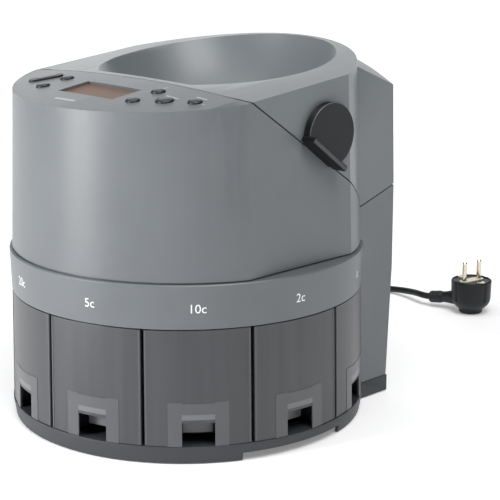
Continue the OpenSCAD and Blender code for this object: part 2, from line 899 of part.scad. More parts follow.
module bowl_form(t) {
    rim = seam_top + (bowl_y + seam_y) * tan(cover_slope) + rim_lift;
    intersection() {
        translate([0, bowl_y, rim]) rotate([cover_slope, 0, 0]) rotate_extrude($fn = smooth)
            polygon(concat([[0, -bowl_d - t]], bowl_curve(t), [[bowl_r + t, 60], [0, 60]]));
        translate([0, -seam_y + 6, seam_top + 0.5]) rotate([-lip_slope, 0, 0])
            translate([-200, -100, -t]) cube([400, 500, 300]);
    }
}

// Outer walls of the cover, open where the bowl is
module cover_walls() {
    difference() {
        intersection() {
            difference() {
                rear_form(0, shell_z);
                rear_form(wall, shell_z - 5);
            }
            across(400) side_above(seam_gap / 2);
        }
        bowl_form(0);
    }
}

// Shell of the bowl, up to the cover's top
module bowl_shell() {
    difference() {
        intersection() {
            rear_form(wall / 2, shell_z);
            bowl_form(wall);
            translate([-200, -seam_y + seam_gap / 2 + 0.2, 0]) cube([400, 400, 400]);
        }
        bowl_form(0);
    }
}

module hopper_cover() {
    color("lightslategray") difference() {
        union() {
            cover_walls();
            bowl_shell();
            hinge_barrels(hinge_r, 1);
        }
        translate([0, bowl_y, 150]) cylinder(r = feed_r, h = 100, $fn = 96);
        hinge_bore();
        hinge_gaps(0);
        latch_bore();
    }
}

module feed_spout() {
    low = deck_z + 27;
    color("lightgray") difference() {
        translate([0, bowl_y, low]) cylinder(r = feed_r + 2, h = 70, $fn = 96);
        bowl_form(wall + seat_gap);
        translate([0, bowl_y, 100]) cylinder(r = feed_r, h = 200, $fn = 96);
    }
}

module latch_bore() {
    translate([flat_at(knob_z) - 10, knob_y, knob_z]) rotate([0, 90, 0])
        cylinder(r = bush_r + seat_gap, h = 20, $fn = 64);
}

module latch_bush() {
    color("black") translate([0, knob_y, knob_z]) rotate([0, 90, 0]) difference() {
        union() {
            translate([0, 0, flat_at(knob_z) - wall - 3])
                cylinder(r = bush_r, h = knob_face - slide_gap - flat_at(knob_z) + wall + 3, $fn = 64);
            translate([0, 0, flat_at(knob_z) - wall - 4.5]) cylinder(r = bush_r + 3, h = 3.9, $fn = 64);
        }
        translate([0, 0, 80]) cylinder(r = latch_r + shaft_gap, h = 80, $fn = 64);
    }
}

module latch_knob() {
    color("black") translate([0, knob_y, knob_z]) rotate([-knob_tilt, 0, 0]) union() {
        intersection() {
            translate([knob_face, 0, 0]) rotate([0, 90, 0]) cylinder(r = knob_r, h = knob_t, $fn = 128);
            translate([0, -60, -knob_chord]) cube([300, 120, 120]);
        }
        translate([knob_face, -knob_r + 3, -knob_chord]) cube([grip_t, 2 * knob_r - 2, grip_w]);
        translate([flat_at(knob_z) - wall - 10, 0, 0]) rotate([0, 90, 0])
            cylinder(r = latch_r, h = knob_face - flat_at(knob_z) + wall + 10 + eps, $fn = 64);
    }
}

module latch_collar() {
    color("silver") translate([flat_at(knob_z) - wall - 8.5, knob_y, knob_z]) rotate([0, 90, 0])
        difference() {
            cylinder(r = 9, h = 3.6, $fn = 64);
            translate([0, 0, -1]) cylinder(r = latch_r + shaft_gap, h = 6, $fn = 64);
        }
}

// ---------------------------------------------------------------- keys

// Length from the panel's surface to the lower end of a key's stem
function stem_drop(x) = board_drop - board_t - key_travel - 0.3 - x * x / (2 * crown_r);

module round_key(k) {
    x = key_table[k][0];
    r = key_table[k][2];
    flange_top = -panel_t - seat_gap;
    color("black") on_panel(x, key_table[k][1], 0) union() {
        translate([0, 0, flange_top - eps]) cylinder(r = r, h = key_rise - 0.6 - flange_top + eps,
            $fn = 64);
        translate([0, 0, key_rise - 0.6]) cylinder(r1 = r, r2 = r - 0.7, h = 0.6, $fn = 64);
        translate([0, 0, flange_top - key_flange]) cylinder(r = r + 1.6, h = key_flange, $fn = 64);
        translate([0, 0, -stem_drop(x)]) cylinder(r = 2, h = stem_drop(x) + flange_top, $fn = 32);
    }
}

module key_arc() {
    x = arc_place[0];
    flange_top = -panel_t - seat_gap - 0.15;
    color("black") on_panel(x, arc_place[1], 0) rotate([0, 0, arc_turn]) union() {
        translate([0, 0, flange_top - eps]) pill(arc_l, arc_w, key_rise - flange_top + eps);
        translate([0, 0, flange_top - key_flange]) pill(arc_l + 3.2, arc_w + 3.2, key_flange);
        translate([0, 0, -stem_drop(x)]) cylinder(r = 2, h = stem_drop(x) + flange_top, $fn = 32);
    }
}

// ---------------------------------------------------------------- mains lead

function ring_at(points, i) = let (
    n = len(points),
    a = points[max(i - 1, 0)],
    b = points[min(i + 1, n - 1)],
    d = (b - a) / norm(b - a),
    side = cross(d, [0, 0, 1]) / norm(cross(d, [0, 0, 1])),
    up = cross(side, d)
) [for (k = [0:7]) points[i] + lead_d / 2 * (cos(45 * k) * side + sin(45 * k) * up)];

module lead_run(points) {
    n = len(points);
    polyhedron(
        points = [for (i = [0:n - 1]) for (p = ring_at(points, i)) p],
        faces = concat(
            [[for (k = [7:-1:0]) k]],
            [[for (k = [0:7]) (n - 1) * 8 + k]],
            [for (i = [0:n - 2]) for (k = [0:7])
                [i * 8 + k, i * 8 + (k + 1) % 8, (i + 1) * 8 + (k + 1) % 8, (i + 1) * 8 + k]]
        )
    );
}

// Smooth route through the chosen points
function spline(p, i, t) = let (
    n = len(p),
    a = p[max(i - 1, 0)], b = p[i], c = p[i + 1], d = p[min(i + 2, n - 1)]
) 0.5 * (2 * b + (c - a) * t + (2 * a - 5 * b + 4 * c - d) * t * t
    + (3 * b - a - 3 * c + d) * t * t * t);

function route(p, steps) = concat(
    [for (i = [0:len(p) - 2]) for (s = [0:steps - 1]) spline(p, i, s / steps)],
    [p[len(p) - 1]]
);

module mains_lead() {
    color("black") translate([0, column_back, 0]) {
        lead_run(route(lead_a, 2));
        lead_run(route(lead_b, 2));
    }
}

module lead_coil() {
    color("black") translate([coil_at[0], column_back + coil_at[1], 0.2]) rotate_extrude($fn = 96)
        translate([coil_r - lead_d * 0.9, 0]) square([lead_d * 1.8, coil_h]);
}

// Place of the plug, turned about its upright axis
module at_plug(turn) {
    translate([plug_at[0], column_back + plug_at[1], 0]) rotate([0, 0, turn]) children();
}

// Tapering sleeve from the plug's body down to the lead
module relief_sleeve() {
    lean = 90 - atan(relief_drop / relief_l);
    at_plug(relief_turn) translate([-relief_l, 0, relief_z - relief_drop]) rotate([0, lean, 0])
        difference() {
            cylinder(r1 = lead_d / 2 + 2.8, r2 = lead_d / 2 + 4.2, h = relief_l - 6, $fn = 64);
            translate([0, 0, -eps]) cylinder(r = lead_d / 2 - 0.2, h = 8, $fn = 48);
        }
}

module plug_body() {
    skirt = 13;
    color("black") difference() {
        union() {
            at_plug(0) rotate_extrude($fn = 96) polygon([
                [0, 0.3], [plug_r - 9, 0.3], [plug_r - 8.5, 4], [plug_r - 3, 8.5],
                [plug_r - 0.6, skirt], [plug_r, plug_h - 1.5], [plug_r - 1.5, plug_h], [0, plug_h]
            ]);
            relief_sleeve();
        }
        for (side = [-1, 1]) at_plug(pin_turn) translate([-2.2, side * plug_r - 1.8, skirt + 1])
            cube([4.4, 3.6, plug_h]);
    }
}

module plug_pins() {
    color("gold") at_plug(pin_turn) translate([0, 0, plug_h])
        for (side = [-1, 1]) translate([0, side * pin_gap, 0]) {
            cylinder(r = pin_r, h = pin_l - 1.4, $fn = 48);
            translate([0, 0, pin_l - 1.4 - eps])
                cylinder(r1 = pin_r, r2 = pin_r / 2, h = 1.4, $fn = 48);
        }
}

// ---------------------------------------------------------------- nodes

base_tray();
rubber_foot(0);  // foot_fr
rubber_foot(1);  // foot_fl
rubber_foot(2);  // foot_rr
rubber_foot(3);  // foot_rl
bay_core();
label_ring();
sorter_floor();
coin_chutes();
drive_plate();
sorting_deck();
sorting_rail();
coin_sensor();
bearing_upper();
bearing_lower();
drive_motor();
motor_pulley();
drive_belt();
disc_spindle();
sorting_disc();
main_housing();
panel_board();
lcd_module();
lcd_window();
power_supply();
switch_frame();
switch_rocker();
cable_gland();
hopper_cover();
feed_spout();
hinge_pin();
latch_bush();
latch_knob();
latch_collar();
key_arc();
round_key(0);  // key_left_front
round_key(1);  // key_left_rear
round_key(2);  // key_right_front
round_key(3);  // key_right_rear
round_key(4);  // key_start
round_key(5);  // key_outer
coin_cup(1);  // cup_1
coin_cup(2);  // cup_2
coin_cup(3);  // cup_3
coin_cup(4);  // cup_4
coin_cup(5);  // cup_5
coin_cup(6);  // cup_6
coin_cup(7);  // cup_7
coin_cup(8);  // cup_8
mains_lead();
lead_coil();
plug_body();
plug_pins();
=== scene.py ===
"""Coin sorting machine: looks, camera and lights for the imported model.

Lengths are in metres, unless a name ends in _mm, and angles named _deg are in degrees.
"""

import json
import logging
import math
from dataclasses import dataclass, field
from enum import Enum

import bmesh
import bpy
import numpy as np
from mathutils import Matrix, Vector

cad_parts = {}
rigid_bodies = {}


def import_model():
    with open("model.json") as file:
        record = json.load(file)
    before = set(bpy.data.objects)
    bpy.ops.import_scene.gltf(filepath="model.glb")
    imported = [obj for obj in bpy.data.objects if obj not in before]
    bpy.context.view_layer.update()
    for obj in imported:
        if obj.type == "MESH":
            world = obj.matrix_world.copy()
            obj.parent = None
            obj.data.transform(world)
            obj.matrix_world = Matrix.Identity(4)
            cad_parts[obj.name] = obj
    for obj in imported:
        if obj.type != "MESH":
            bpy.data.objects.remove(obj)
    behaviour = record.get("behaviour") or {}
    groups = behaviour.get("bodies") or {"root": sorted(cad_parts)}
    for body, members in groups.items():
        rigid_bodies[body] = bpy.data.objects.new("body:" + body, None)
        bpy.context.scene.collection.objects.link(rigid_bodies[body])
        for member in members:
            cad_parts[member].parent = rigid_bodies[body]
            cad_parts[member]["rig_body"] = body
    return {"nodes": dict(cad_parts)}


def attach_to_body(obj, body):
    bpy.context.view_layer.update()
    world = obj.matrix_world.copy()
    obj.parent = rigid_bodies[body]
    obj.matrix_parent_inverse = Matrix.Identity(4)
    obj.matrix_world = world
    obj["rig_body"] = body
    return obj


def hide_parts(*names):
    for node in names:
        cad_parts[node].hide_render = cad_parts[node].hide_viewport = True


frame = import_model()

log = logging.getLogger("coin_sorter")

MM = 0.001
WHITE = (1.0, 1.0, 1.0, 1.0)
TINY = 1e-6             # points and edges closer or shorter than this, in metres, are one point
MERGE_COPY = 2e-6       # the same for the points of a solid's copy
FLAT_DEG = 0.6          # triangles of a copy that turn less than this are one face
BEVEL_DEG = 28.0        # edges of a copy that turn more than this are rounded
BEVEL_STEPS = 2
SHARP_DEG = 35.0        # edges of a new piece that turn more than this stay sharp
ROUND_DEG = 60.0        # the same on a round or printed piece
FAN_PITCH_DEG = 33.6    # turn from one cup to the next
FAN_FIRST_DEG = 117.6   # direction of the first cup


# ---------------------------------------------------------------- colour and nodes

def linear(code: str) -> tuple[float, float, float, float]:
    """Turns an sRGB hex value into linear light, by the two-part curve of the sRGB standard.

    Args:
        code: colour such as "#6c7276".

    Returns:
        Linear red, green and blue, and an alpha of one.
    """
    parts = np.array([int(code[i:i + 2], 16) for i in (1, 3, 5)], float) / 255.0
    low = parts / 12.92
    high = ((parts + 0.055) / 1.055) ** 2.4
    r, g, b = np.where(parts <= 0.04045, low, high)
    return float(r), float(g), float(b), 1.0


def add_node(tree: bpy.types.NodeTree, kind: str, links: dict[str, object] | None = None,
             **settings: object) -> bpy.types.Node:
    """Adds one shader node, sets it and links its inputs.

    Args:
        tree: node tree of the material.
        kind: Blender's class name of the node.
        links: input name to the output socket that feeds it.
        settings: input names (spaces as underscores) or attributes to their values.

    Returns:
        The new node.
    """
    node = tree.nodes.new(kind)
    for name, value in settings.items():
        label = name.replace("_", " ")
        if label in node.inputs:
            node.inputs[label].default_value = value
        else:
            setattr(node, name, value)
    for name, socket in (links or {}).items():
        tree.links.new(socket, node.inputs[name])
    return node


def blank_material(name: str) -> tuple[bpy.types.Material, bpy.types.Node, bpy.types.NodeSocket]:
    """Starts a material with its output and its object coordinates.

    Args:
        name: name of the material.

    Returns:
        The material, its output node and the socket that gives object coordinates.
    """
    material = bpy.data.materials.new(name)
    material.use_nodes = True
    tree = material.node_tree
    tree.nodes.clear()
    out = add_node(tree, "ShaderNodeOutputMaterial")
    place = add_node(tree, "ShaderNodeTexCoord")
    return material, out, place.outputs["Object"]


def two_tones(tree: bpy.types.NodeTree, source: bpy.types.NodeSocket, shade: str, tone: str,
              low: float) -> bpy.types.NodeSocket:
    """Turns a noise value into a colour between two tones.

    Args:
        tree: node tree of the material.
        source: the noise value.
        shade: hex value of the darker tone, up to low.
        tone: hex value of the lighter tone, from one less low.
        low: where the change from one to the other begins.

    Returns:
        The socket that gives the colour.
    """
    ramp = add_node(tree, "ShaderNodeValToRGB", {"Fac": source})
    for stop, position, code in zip(ramp.color_ramp.elements, (low, 1.0 - low), (shade, tone)):
        stop.position = position
        stop.color = linear(code)
    return ramp.outputs["Color"]


@dataclass(frozen=True)
class Moulded:
    """Moulded plastic or rubber: a sparked mould leaves a fine even grain.

    The colour drifts a little over some centimetres, and the roughness with it. The real
    grain is a tenth of a millimetre or less, too fine to show, so it is drawn as coarse as
    grain_mm says.
    """

    name: str
    tone: str
    shade: str
    roughness: float = 0.45
    grain_mm: float = 0.9
    grain_depth: float = 0.06
    ior: float = 1.5
    coat: float = 0.0
    specular: float = 0.5
    drift_mm: float = 45.0
    stretch: tuple[float, float, float] = (1.0, 1.0, 1.0)
    ramp_low: float = 0.3
    rough_swing: float = 0.05
    least_rough: float = 0.02
    grain_height: float = 0.0004

    def build(self) -> bpy.types.Material:
        """Builds the material: two tones mixed by slow noise, grain as a bump.

        Returns:
            The finished material.
        """
        material, out, place = blank_material(self.name)
        tree = material.node_tree
        drawn = add_node(tree, "ShaderNodeMapping", {"Vector": place},
                         Scale=self.stretch)
        drift = add_node(tree, "ShaderNodeTexNoise", {"Vector": drawn.outputs["Vector"]},
                         Scale=1.0 / (self.drift_mm * MM), Detail=2.0, Roughness=0.5)
        tones = two_tones(tree, drift.outputs["Fac"], self.shade, self.tone, self.ramp_low)
        rough = add_node(tree, "ShaderNodeMapRange", {"Value": drift.outputs["Fac"]},
                         To_Min=max(self.roughness - self.rough_swing, self.least_rough),
                         To_Max=self.roughness + self.rough_swing)
        grain = add_node(tree, "ShaderNodeTexNoise", {"Vector": place},
                         Scale=1.0 / (self.grain_mm * MM), Detail=2.0, Roughness=0.6)
        bump = add_node(tree, "ShaderNodeBump", {"Height": grain.outputs["Fac"]},
                        Strength=self.grain_depth, Distance=self.grain_height)
        shader = add_node(tree, "ShaderNodeBsdfPrincipled",
                          {"Base Color": tones,
                           "Roughness": rough.outputs["Result"],
                           "Normal": bump.outputs["Normal"]},
                          IOR=self.ior, Coat_Weight=self.coat,
                          Specular_IOR_Level=self.specular)
        tree.links.new(shader.outputs["BSDF"], out.inputs["Surface"])
        return material


@dataclass(frozen=True)
class Metal:
    """Metal with the fine lines that brushing or turning leaves.

    Such lines are some hundredths of a millimetre apart, too fine to show, so they are drawn
    as coarse as line_mm says; the noise runs ten times as long as that before it is drawn out.
    """

    name: str
    tone: str
    shade: str
    roughness: float = 0.3
    line_mm: float = 0.4
    stretch: tuple[float, float, float] = (1.0, 1.0, 12.0)
    depth: float = 0.05
    ramp_low: float = 0.35
    line_height: float = 0.0002
    noise_share: float = 0.1

    def build(self) -> bpy.types.Material:
        """Builds the metal: noise drawn out along one axis, as colour and bump.

        Returns:
            The finished material.
        """
        material, out, place = blank_material(self.name)
        tree = material.node_tree
        turn = add_node(tree, "ShaderNodeMapping", {"Vector": place},
                        Scale=self.stretch)
        lines = add_node(tree, "ShaderNodeTexNoise", {"Vector": turn.outputs["Vector"]},
                         Scale=self.noise_share / (self.line_mm * MM), Detail=4.0, Roughness=0.6)
        tones = two_tones(tree, lines.outputs["Fac"], self.shade, self.tone, self.ramp_low)
        bump = add_node(tree, "ShaderNodeBump", {"Height": lines.outputs["Fac"]},
                        Strength=self.depth, Distance=self.line_height)
        shader = add_node(tree, "ShaderNodeBsdfPrincipled",
                          {"Base Color": tones,
                           "Normal": bump.outputs["Normal"]},
                          Metallic=1.0, Roughness=self.roughness)
        tree.links.new(shader.outputs["BSDF"], out.inputs["Surface"])
        return material


@dataclass(frozen=True)
class Backdrop:
    """Seamless pale studio paper: matt, with a painted glow that rises more and more away from the
    part.
    """

    name: str
    tone: str
    near_glow: float
    far_glow: float
    near_m: float = 0.7
    far_m: float = 1.5

    def build(self) -> bpy.types.Material:
        """Builds the paper: its glow rises with the distance from the middle.

        Returns:
            The finished material.
        """
        material, out, place = blank_material(self.name)
        tree = material.node_tree
        away = add_node(tree, "ShaderNodeVectorMath", {"Vector": place},
                        operation="LENGTH")
        glow = add_node(tree, "ShaderNodeMapRange", {"Value": away.outputs["Value"]},
                        From_Min=self.near_m, From_Max=self.far_m, To_Min=self.near_glow,
                        To_Max=self.far_glow)
        shader = add_node(tree, "ShaderNodeBsdfPrincipled",
                          {"Emission Strength": glow.outputs["Result"]},
                          Base_Color=linear(self.tone), Roughness=0.85, Specular_IOR_Level=0.0,
                          Emission_Color=WHITE)
        tree.links.new(shader.outputs["BSDF"], out.inputs["Surface"])
        return material


class Finish(Enum):
    """Every finish on the machine."""

    # Satin moulded ABS: broad soft highlights on a cool grey
    SHELL = Moulded("abs_satin_grey", "#65696c", "#616568", 0.37, 1.0, 0.04, specular=0.5)
    # The same ABS from a smoother mould: a tighter highlight in the bowl
    HOPPER = Moulded("abs_hopper_grey", "#696e71", "#656a6d", 0.32, 1.2, 0.03, specular=0.45)
    # The same ABS on the band with the coin values: even, so that the print reads
    RING = Moulded("abs_ring_grey", "#666a6d", "#626669", 0.38, 1.0, 0.04, specular=0.45)
    # Smoke polycarbonate, drawn opaque: dark, with faint upright bands of what is behind it
    CUP = Moulded("polycarbonate_smoke", "#393a3e", "#2f3034", 0.36, 1.5, 0.0, 1.58,
                  drift_mm=9.0, stretch=(1.0, 1.0, 0.03), specular=0.55)
    # The same wall, painted lighter: painted light where the pocket behind it catches the light,
    # and a painted highlight down each cup's two edges
    CUP_PANE = Moulded("polycarbonate_smoke_pane", "#525356", "#4e4f52", 0.34, 1.5, 0.0, 1.58,
                       specular=0.4)
    # The same at the thick lip over the opening and at the pocket's back, drawn the palest:
    # painted light
    CUP_LIP = Moulded("polycarbonate_smoke_lip", "#6b6c6f", "#66676a", 0.3, 1.5, 0.0, 1.58,
                      specular=0.4)
    # Glass-filled nylon: dark and dull, with a visible grain
    BASE = Moulded("nylon_dark_grey", "#34363a", "#2f3135", 0.5, 0.8, 0.08)
    # Unpolished ABS inside: near black and flat, painted shade so that openings read as depth
    CORE = Moulded("abs_inner_black", "#2a2b2e", "#242528", 0.6, 0.9, 0.08)
    # Moulded rubber: black, with almost no highlight
    FOOT = Moulded("rubber_foot", "#1a1a1b", "#141415", 0.8, 0.7, 0.2)
    # Uncoloured acetal: milky, with a waxy sheen
    NATURAL = Moulded("acetal_natural", "#c9c8c2", "#c1c0ba", 0.35, 1.2, 0.04)
    # Acetal polished by the coins: paler and glossier
    DISC = Moulded("acetal_disc", "#dddcd6", "#d3d2cc", 0.28, 1.5, 0.03)
    # Black ABS: a soft highlight on small fittings
    BLACK = Moulded("abs_black", "#1b1c1e", "#161719", 0.4, 0.8, 0.08)
    # Charcoal ABS of the knob's face: darker than the housing round it
    KNOB = Moulded("abs_knob_charcoal", "#181b1f", "#15181b", 0.45, 0.8, 0.04,
                   specular=0.3)
    # Rounded edge of the knob: a thin pale tube, a painted highlight along it
    KNOB_HIGHLIGHT = Moulded("abs_knob_painted_highlight", "#6a6c70", "#606266", 0.22, 0.8, 0.02)
    # The knob's sides and its grip bar, as good as black: painted shade under its edge
    KNOB_SHADED = Moulded("abs_knob_painted_shade", "#08090a", "#060708", 0.5, 0.8, 0.06, specular=0.3)
    # Front of the grip bar, a shade lighter: painted light on its lit face
    KNOB_LIT_GRIP = Moulded("abs_knob_grip_painted_light", "#3a3b3f", "#343539", 0.4, 0.8, 0.06)
    # Near-black key stems round each cap: painted shade of the recess each key sits in
    KEY_SHADE = Moulded("key_recess_painted_shade", "#25282b", "#1f2225", 0.4, 0.6, 0.05)
    # Satin caps: a small soft highlight on each dome
    KEY_CAP = Moulded("key_cap_grey", "#45494c", "#3f4346", 0.35, 0.6, 0.04)
    # Warmer grey of the long key
    ARC_CAP = Moulded("key_cap_warm_grey", "#7a726f", "#706966", 0.35, 0.6, 0.04)
    # Screen-printed ink: flat, bright white
    MARK = Moulded("printed_white", "#f2f3f2", "#e8e9e8", 0.5, 0.5, 0.02)
    # The same in pale grey: it only just stands off the panel
    PALE = Moulded("printed_pale_grey", "#a3a8aa", "#9ca1a3", 0.5, 0.5, 0.02)
    # Walls of the display's recess, near black: painted shade
    SHADE = Moulded("abs_recess_painted_shade", "#0b0c0d", "#09090a", 0.8, 0.8, 0.05, specular=0.05)
    # Unlit display film: a dull brown sheet
    LCD = Moulded("display_film", "#6d5a50", "#68554b", 0.45, 4.0, 0.01, specular=0.15)
    # Soft PVC sheath: black, with a long narrow highlight
    CORD = Moulded("pvc_cord_black", "#151719", "#111314", 0.45, 0.7, 0.06, specular=0.3)
    # Harder PVC of the plug: the mould's grain shows
    PLUG = Moulded("pvc_plug_black", "#1c1e20", "#181a1c", 0.45, 0.7, 0.1, specular=0.35)
    # Pale nylon bridge that carries the pins
    INSERT = Moulded("nylon_bridge_cream", "#e4dcc8", "#d8d0bc", 0.4, 0.7, 0.05)
    # Near black, painted shade: the bottom of a groove or hole, out of the light, and the line
    # over the grip bar
    GROOVE = Moulded("pvc_groove_painted_shade", "#0e0f10", "#0b0c0d", 0.6, 0.7, 0.1)
    # Neoprene: black and dusty, no highlight
    BELT = Moulded("neoprene_belt", "#161617", "#101011", 0.75, 0.5, 0.2)
    # Solder mask over copper: deep green under a thin gloss
    BOARD = Moulded("solder_mask_green", "#1f6a43", "#195a38", 0.3, 2.0, 0.03, coat=0.3)
    # Zinc plate: bright grey, slightly milky
    STEEL = Metal("steel_zinc_plated", "#b9bcbe", "#a9acae", 0.28)
    # Ground bearing steel: the sharpest highlight
    BEARING = Metal("steel_ground", "#d2d4d6", "#c4c6c8", 0.16, 0.3)
    # Drawn and plated motor can: duller and darker
    CAN = Metal("motor_can_plated", "#8c9094", "#7e8286", 0.35)
    # Turned aluminium: pale, with the tool's lines
    ALUMINIUM = Metal("aluminium_turned", "#c9cbcd", "#bbbdbf", 0.3, 0.3, (1.0, 1.0, 20.0))
    # Nickel over brass: warm and shiny
    PIN = Metal("brass_nickel_plated", "#efe6d0", "#e2d8c0", 0.2, 0.3, (12.0, 12.0, 1.0))
    # Matt paper with a painted glow: pale under the machine, white further off
    FLOOR = Backdrop("studio_paper", "#f4f4f5", 0.22, 0.95)


class Palette:
    """Builds each finish once and hands it out."""

    def __init__(self) -> None:
        """Starts with no material built."""
        self.made: dict[Finish, bpy.types.Material] = {}

    def get(self, finish: Finish) -> bpy.types.Material:
        """Gives the material of a finish, building it at its first use.

        Args:
            finish: the finish that is asked for.

        Returns:
            Its material.
        """
        if finish not in self.made:
            self.made[finish] = finish.value.build()
        return self.made[finish]


PALETTE = Palette()


# ---------------------------------------------------------------- mesh tools

def mesh_object(name: str, points: np.ndarray, quads: np.ndarray, finish: Finish,
                sharp_deg: float = SHARP_DEG) -> bpy.types.Object:
    """Makes an object from vertex and face arrays.

    Args:
        name: name of the piece.
        points: vertex places in metres, one row each.
        quads: corner indices, one row a face.
        finish: what it is made of.
        sharp_deg: edges that turn more than this stay sharp.

    Returns:
        The linked object, at the origin.
    """
    mesh = bpy.data.meshes.new(name)
    mesh.from_pydata(np.asarray(points, float).tolist(), [], np.asarray(quads).tolist())
    mesh.update()
    return link_mesh(name, mesh, finish, sharp_deg)


def link_mesh(name: str, mesh: bpy.types.Mesh, finish: Finish,
              sharp_deg: float = SHARP_DEG) -> bpy.types.Object:
    """Cleans a mesh, turns its faces outwards and links it as an object.

    Args:
        name: name of the piece.
        mesh: its mesh, which is changed.
        finish: what it is made of.
        sharp_deg: edges that turn more than this stay sharp.

    Returns:
        The linked object, at the origin.
    """
    work = bmesh.new()
    work.from_mesh(mesh)
    bmesh.ops.remove_doubles(work, verts=work.verts, dist=TINY)
    bmesh.ops.recalc_face_normals(work, faces=work.faces)
    work.to_mesh(mesh)
    work.free()
    mesh.materials.clear()
    mesh.materials.append(PALETTE.get(finish))
    mesh.polygons.foreach_set("use_smooth", np.ones(len(mesh.polygons), bool))
    mesh.set_sharp_from_angle(angle=math.radians(sharp_deg))
    piece = bpy.data.objects.new(name, mesh)
    bpy.context.scene.collection.objects.link(piece)
    return piece


def grid_faces(rows: int, columns: int, wrap_rows: bool, wrap_columns: bool) -> np.ndarray:
    """Faces of a grid of points, row after row.

    Args:
        rows: number of rows of points.
        columns: number of points in a row.
        wrap_rows: whether the last row joins the first.
        wrap_columns: whether the last column joins the first.

    Returns:
        Corner indices, four to a face.
    """
    i = np.arange(rows if wrap_rows else rows - 1)
    j = np.arange(columns if wrap_columns else columns - 1)
    a, b = np.meshgrid(i, j, indexing="ij")
    a2, b2 = (a + 1) % rows, (b + 1) % columns
    faces = np.stack([a * columns + b, a2 * columns + b, a2 * columns + b2, a * columns + b2], -1)
    return faces.reshape(-1, 4)


def loft(rings: np.ndarray) -> tuple[np.ndarray, np.ndarray]:
    """Skin over a stack of rings; a fan to each end ring's middle closes it.

    Args:
        rings: points of each ring, as an array of rings, corners and places.

    Returns:
        Points and faces.
    """
    ends = rings[[0, -1]].mean(1)[:, None] + 0.0 * rings[[0, -1]]
    rows = np.concatenate([ends[:1], rings, ends[1:]])
    return rows.reshape(-1, 3), grid_faces(len(rows), rings.shape[1], False, True)


def moved(local: np.ndarray, place: Matrix) -> np.ndarray:
    """Carries points from a frame's own places to the model's.

    Args:
        local: points in the frame, one in each last row.
        place: the frame.

    Returns:
        The same points in the model.
    """
    turn = np.array(place)
    return local @ turn[:3, :3].T + turn[:3, 3]


def turned(profile: np.ndarray, corners: int, place: Matrix) -> tuple[np.ndarray, np.ndarray]:
    """Surface of revolution: point(s, t) = profile(s) turned by the angle t about the axis.

    Args:
        profile: radius and height of each profile point, in metres.
        corners: steps round the axis.
        place: frame whose third axis is the axis of the turn.

    Returns:
        Points and faces.
    """
    angle = np.linspace(0.0, 2 * np.pi, corners, endpoint=False)
    r, h = profile[:, 0][:, None], profile[:, 1][:, None]
    rings = np.stack([r * np.cos(angle), r * np.sin(angle), h + 0 * angle], -1)
    return loft(moved(rings, place))


def slab(outline: np.ndarray, low: float, high: float,
         place: Matrix) -> tuple[np.ndarray, np.ndarray]:
    """Flat plate: the outline at the heights low and high, joined by its edge.

    Args:
        outline: corners of the plate in its own plane.
        low: height of its underside.
        high: height of its top.
        place: frame of the plate.

    Returns:
        Points and faces.
    """
    flat = np.concatenate([outline, 0 * outline[:, :1]], 1)
    lift = np.array([[[0.0, 0.0, low]], [[0.0, 0.0, high]]])
    return loft(moved(flat[None] + lift, place))


def pill(length: float, width: float, corners: int = 24) -> np.ndarray:
    """Outline with round ends: a circle drawn apart along the first axis.

    The steps are turned by a hair, so that none lies where the circle is drawn apart.

    Args:
        length: from end to end.
        width: across, and twice the radius of the ends.
        corners: number of points.

    Returns:
        Points of the outline in its own plane.
    """
    hair = 1e-4
    t = np.linspace(0.0, 2 * np.pi, corners, endpoint=False) + hair
    reach = (length - width) / 2
    return np.stack([width / 2 * np.cos(t) + reach * np.sign(np.cos(t)),
                     width / 2 * np.sin(t)], -1)


def path_frames(path: np.ndarray) -> tuple[np.ndarray, np.ndarray]:
    """Side and up vectors along a path: side is the run crossed with the upright, so level.

    Args:
        path: points of the path, nowhere upright.

    Returns:
        Side and up vectors, one of each for each point.
    """
    run = np.gradient(path, axis=0)
    run /= np.linalg.norm(run, axis=1)[:, None]
    side = np.cross(run, np.array([0.0, 0.0, 1.0]))
    side /= np.linalg.norm(side, axis=1)[:, None]
    return side, np.cross(side, run)


def tube(path: np.ndarray, radius: np.ndarray | float,
         corners: int) -> tuple[np.ndarray, np.ndarray]:
    """Round tube: point(s, t) = path(s) + radius(s) (cos t side(s) + sin t up(s)), ends closed.

    Args:
        path: points of the middle line.
        radius: one radius, or one for each point.
        corners: steps round the tube.

    Returns:
        Points and faces.
    """
    side, up = path_frames(path)
    t = np.linspace(0.0, 2 * np.pi, corners, endpoint=False)
    size = np.broadcast_to(radius, len(path))[:, None, None]
    return loft(path[:, None] + size * (np.cos(t)[None, :, None] * side[:, None]
                                        + np.sin(t)[None, :, None] * up[:, None]))


def catmull(points: np.ndarray, steps: int) -> np.ndarray:
    """Smooth curve through points: cubic in t between each pair, slopes from the neighbours.

    Args:
        points: points that the curve passes through.
        steps: steps from one point to the next.

    Returns:
        Points of the curve, the last one included.
    """
    p = np.vstack([points[0], points, points[-1]])
    t = np.linspace(0.0, 1.0, steps, endpoint=False)[:, None]
    a, b, c, d = (p[k:k + len(points) - 1, None] for k in range(4))
    curve = 0.5 * (2 * b + (c - a) * t + (2 * a - 5 * b + 4 * c - d) * t ** 2
                   + (3 * b - a - 3 * c + d) * t ** 3)
    return np.vstack([curve.reshape(-1, points.shape[1]), points[-1]])


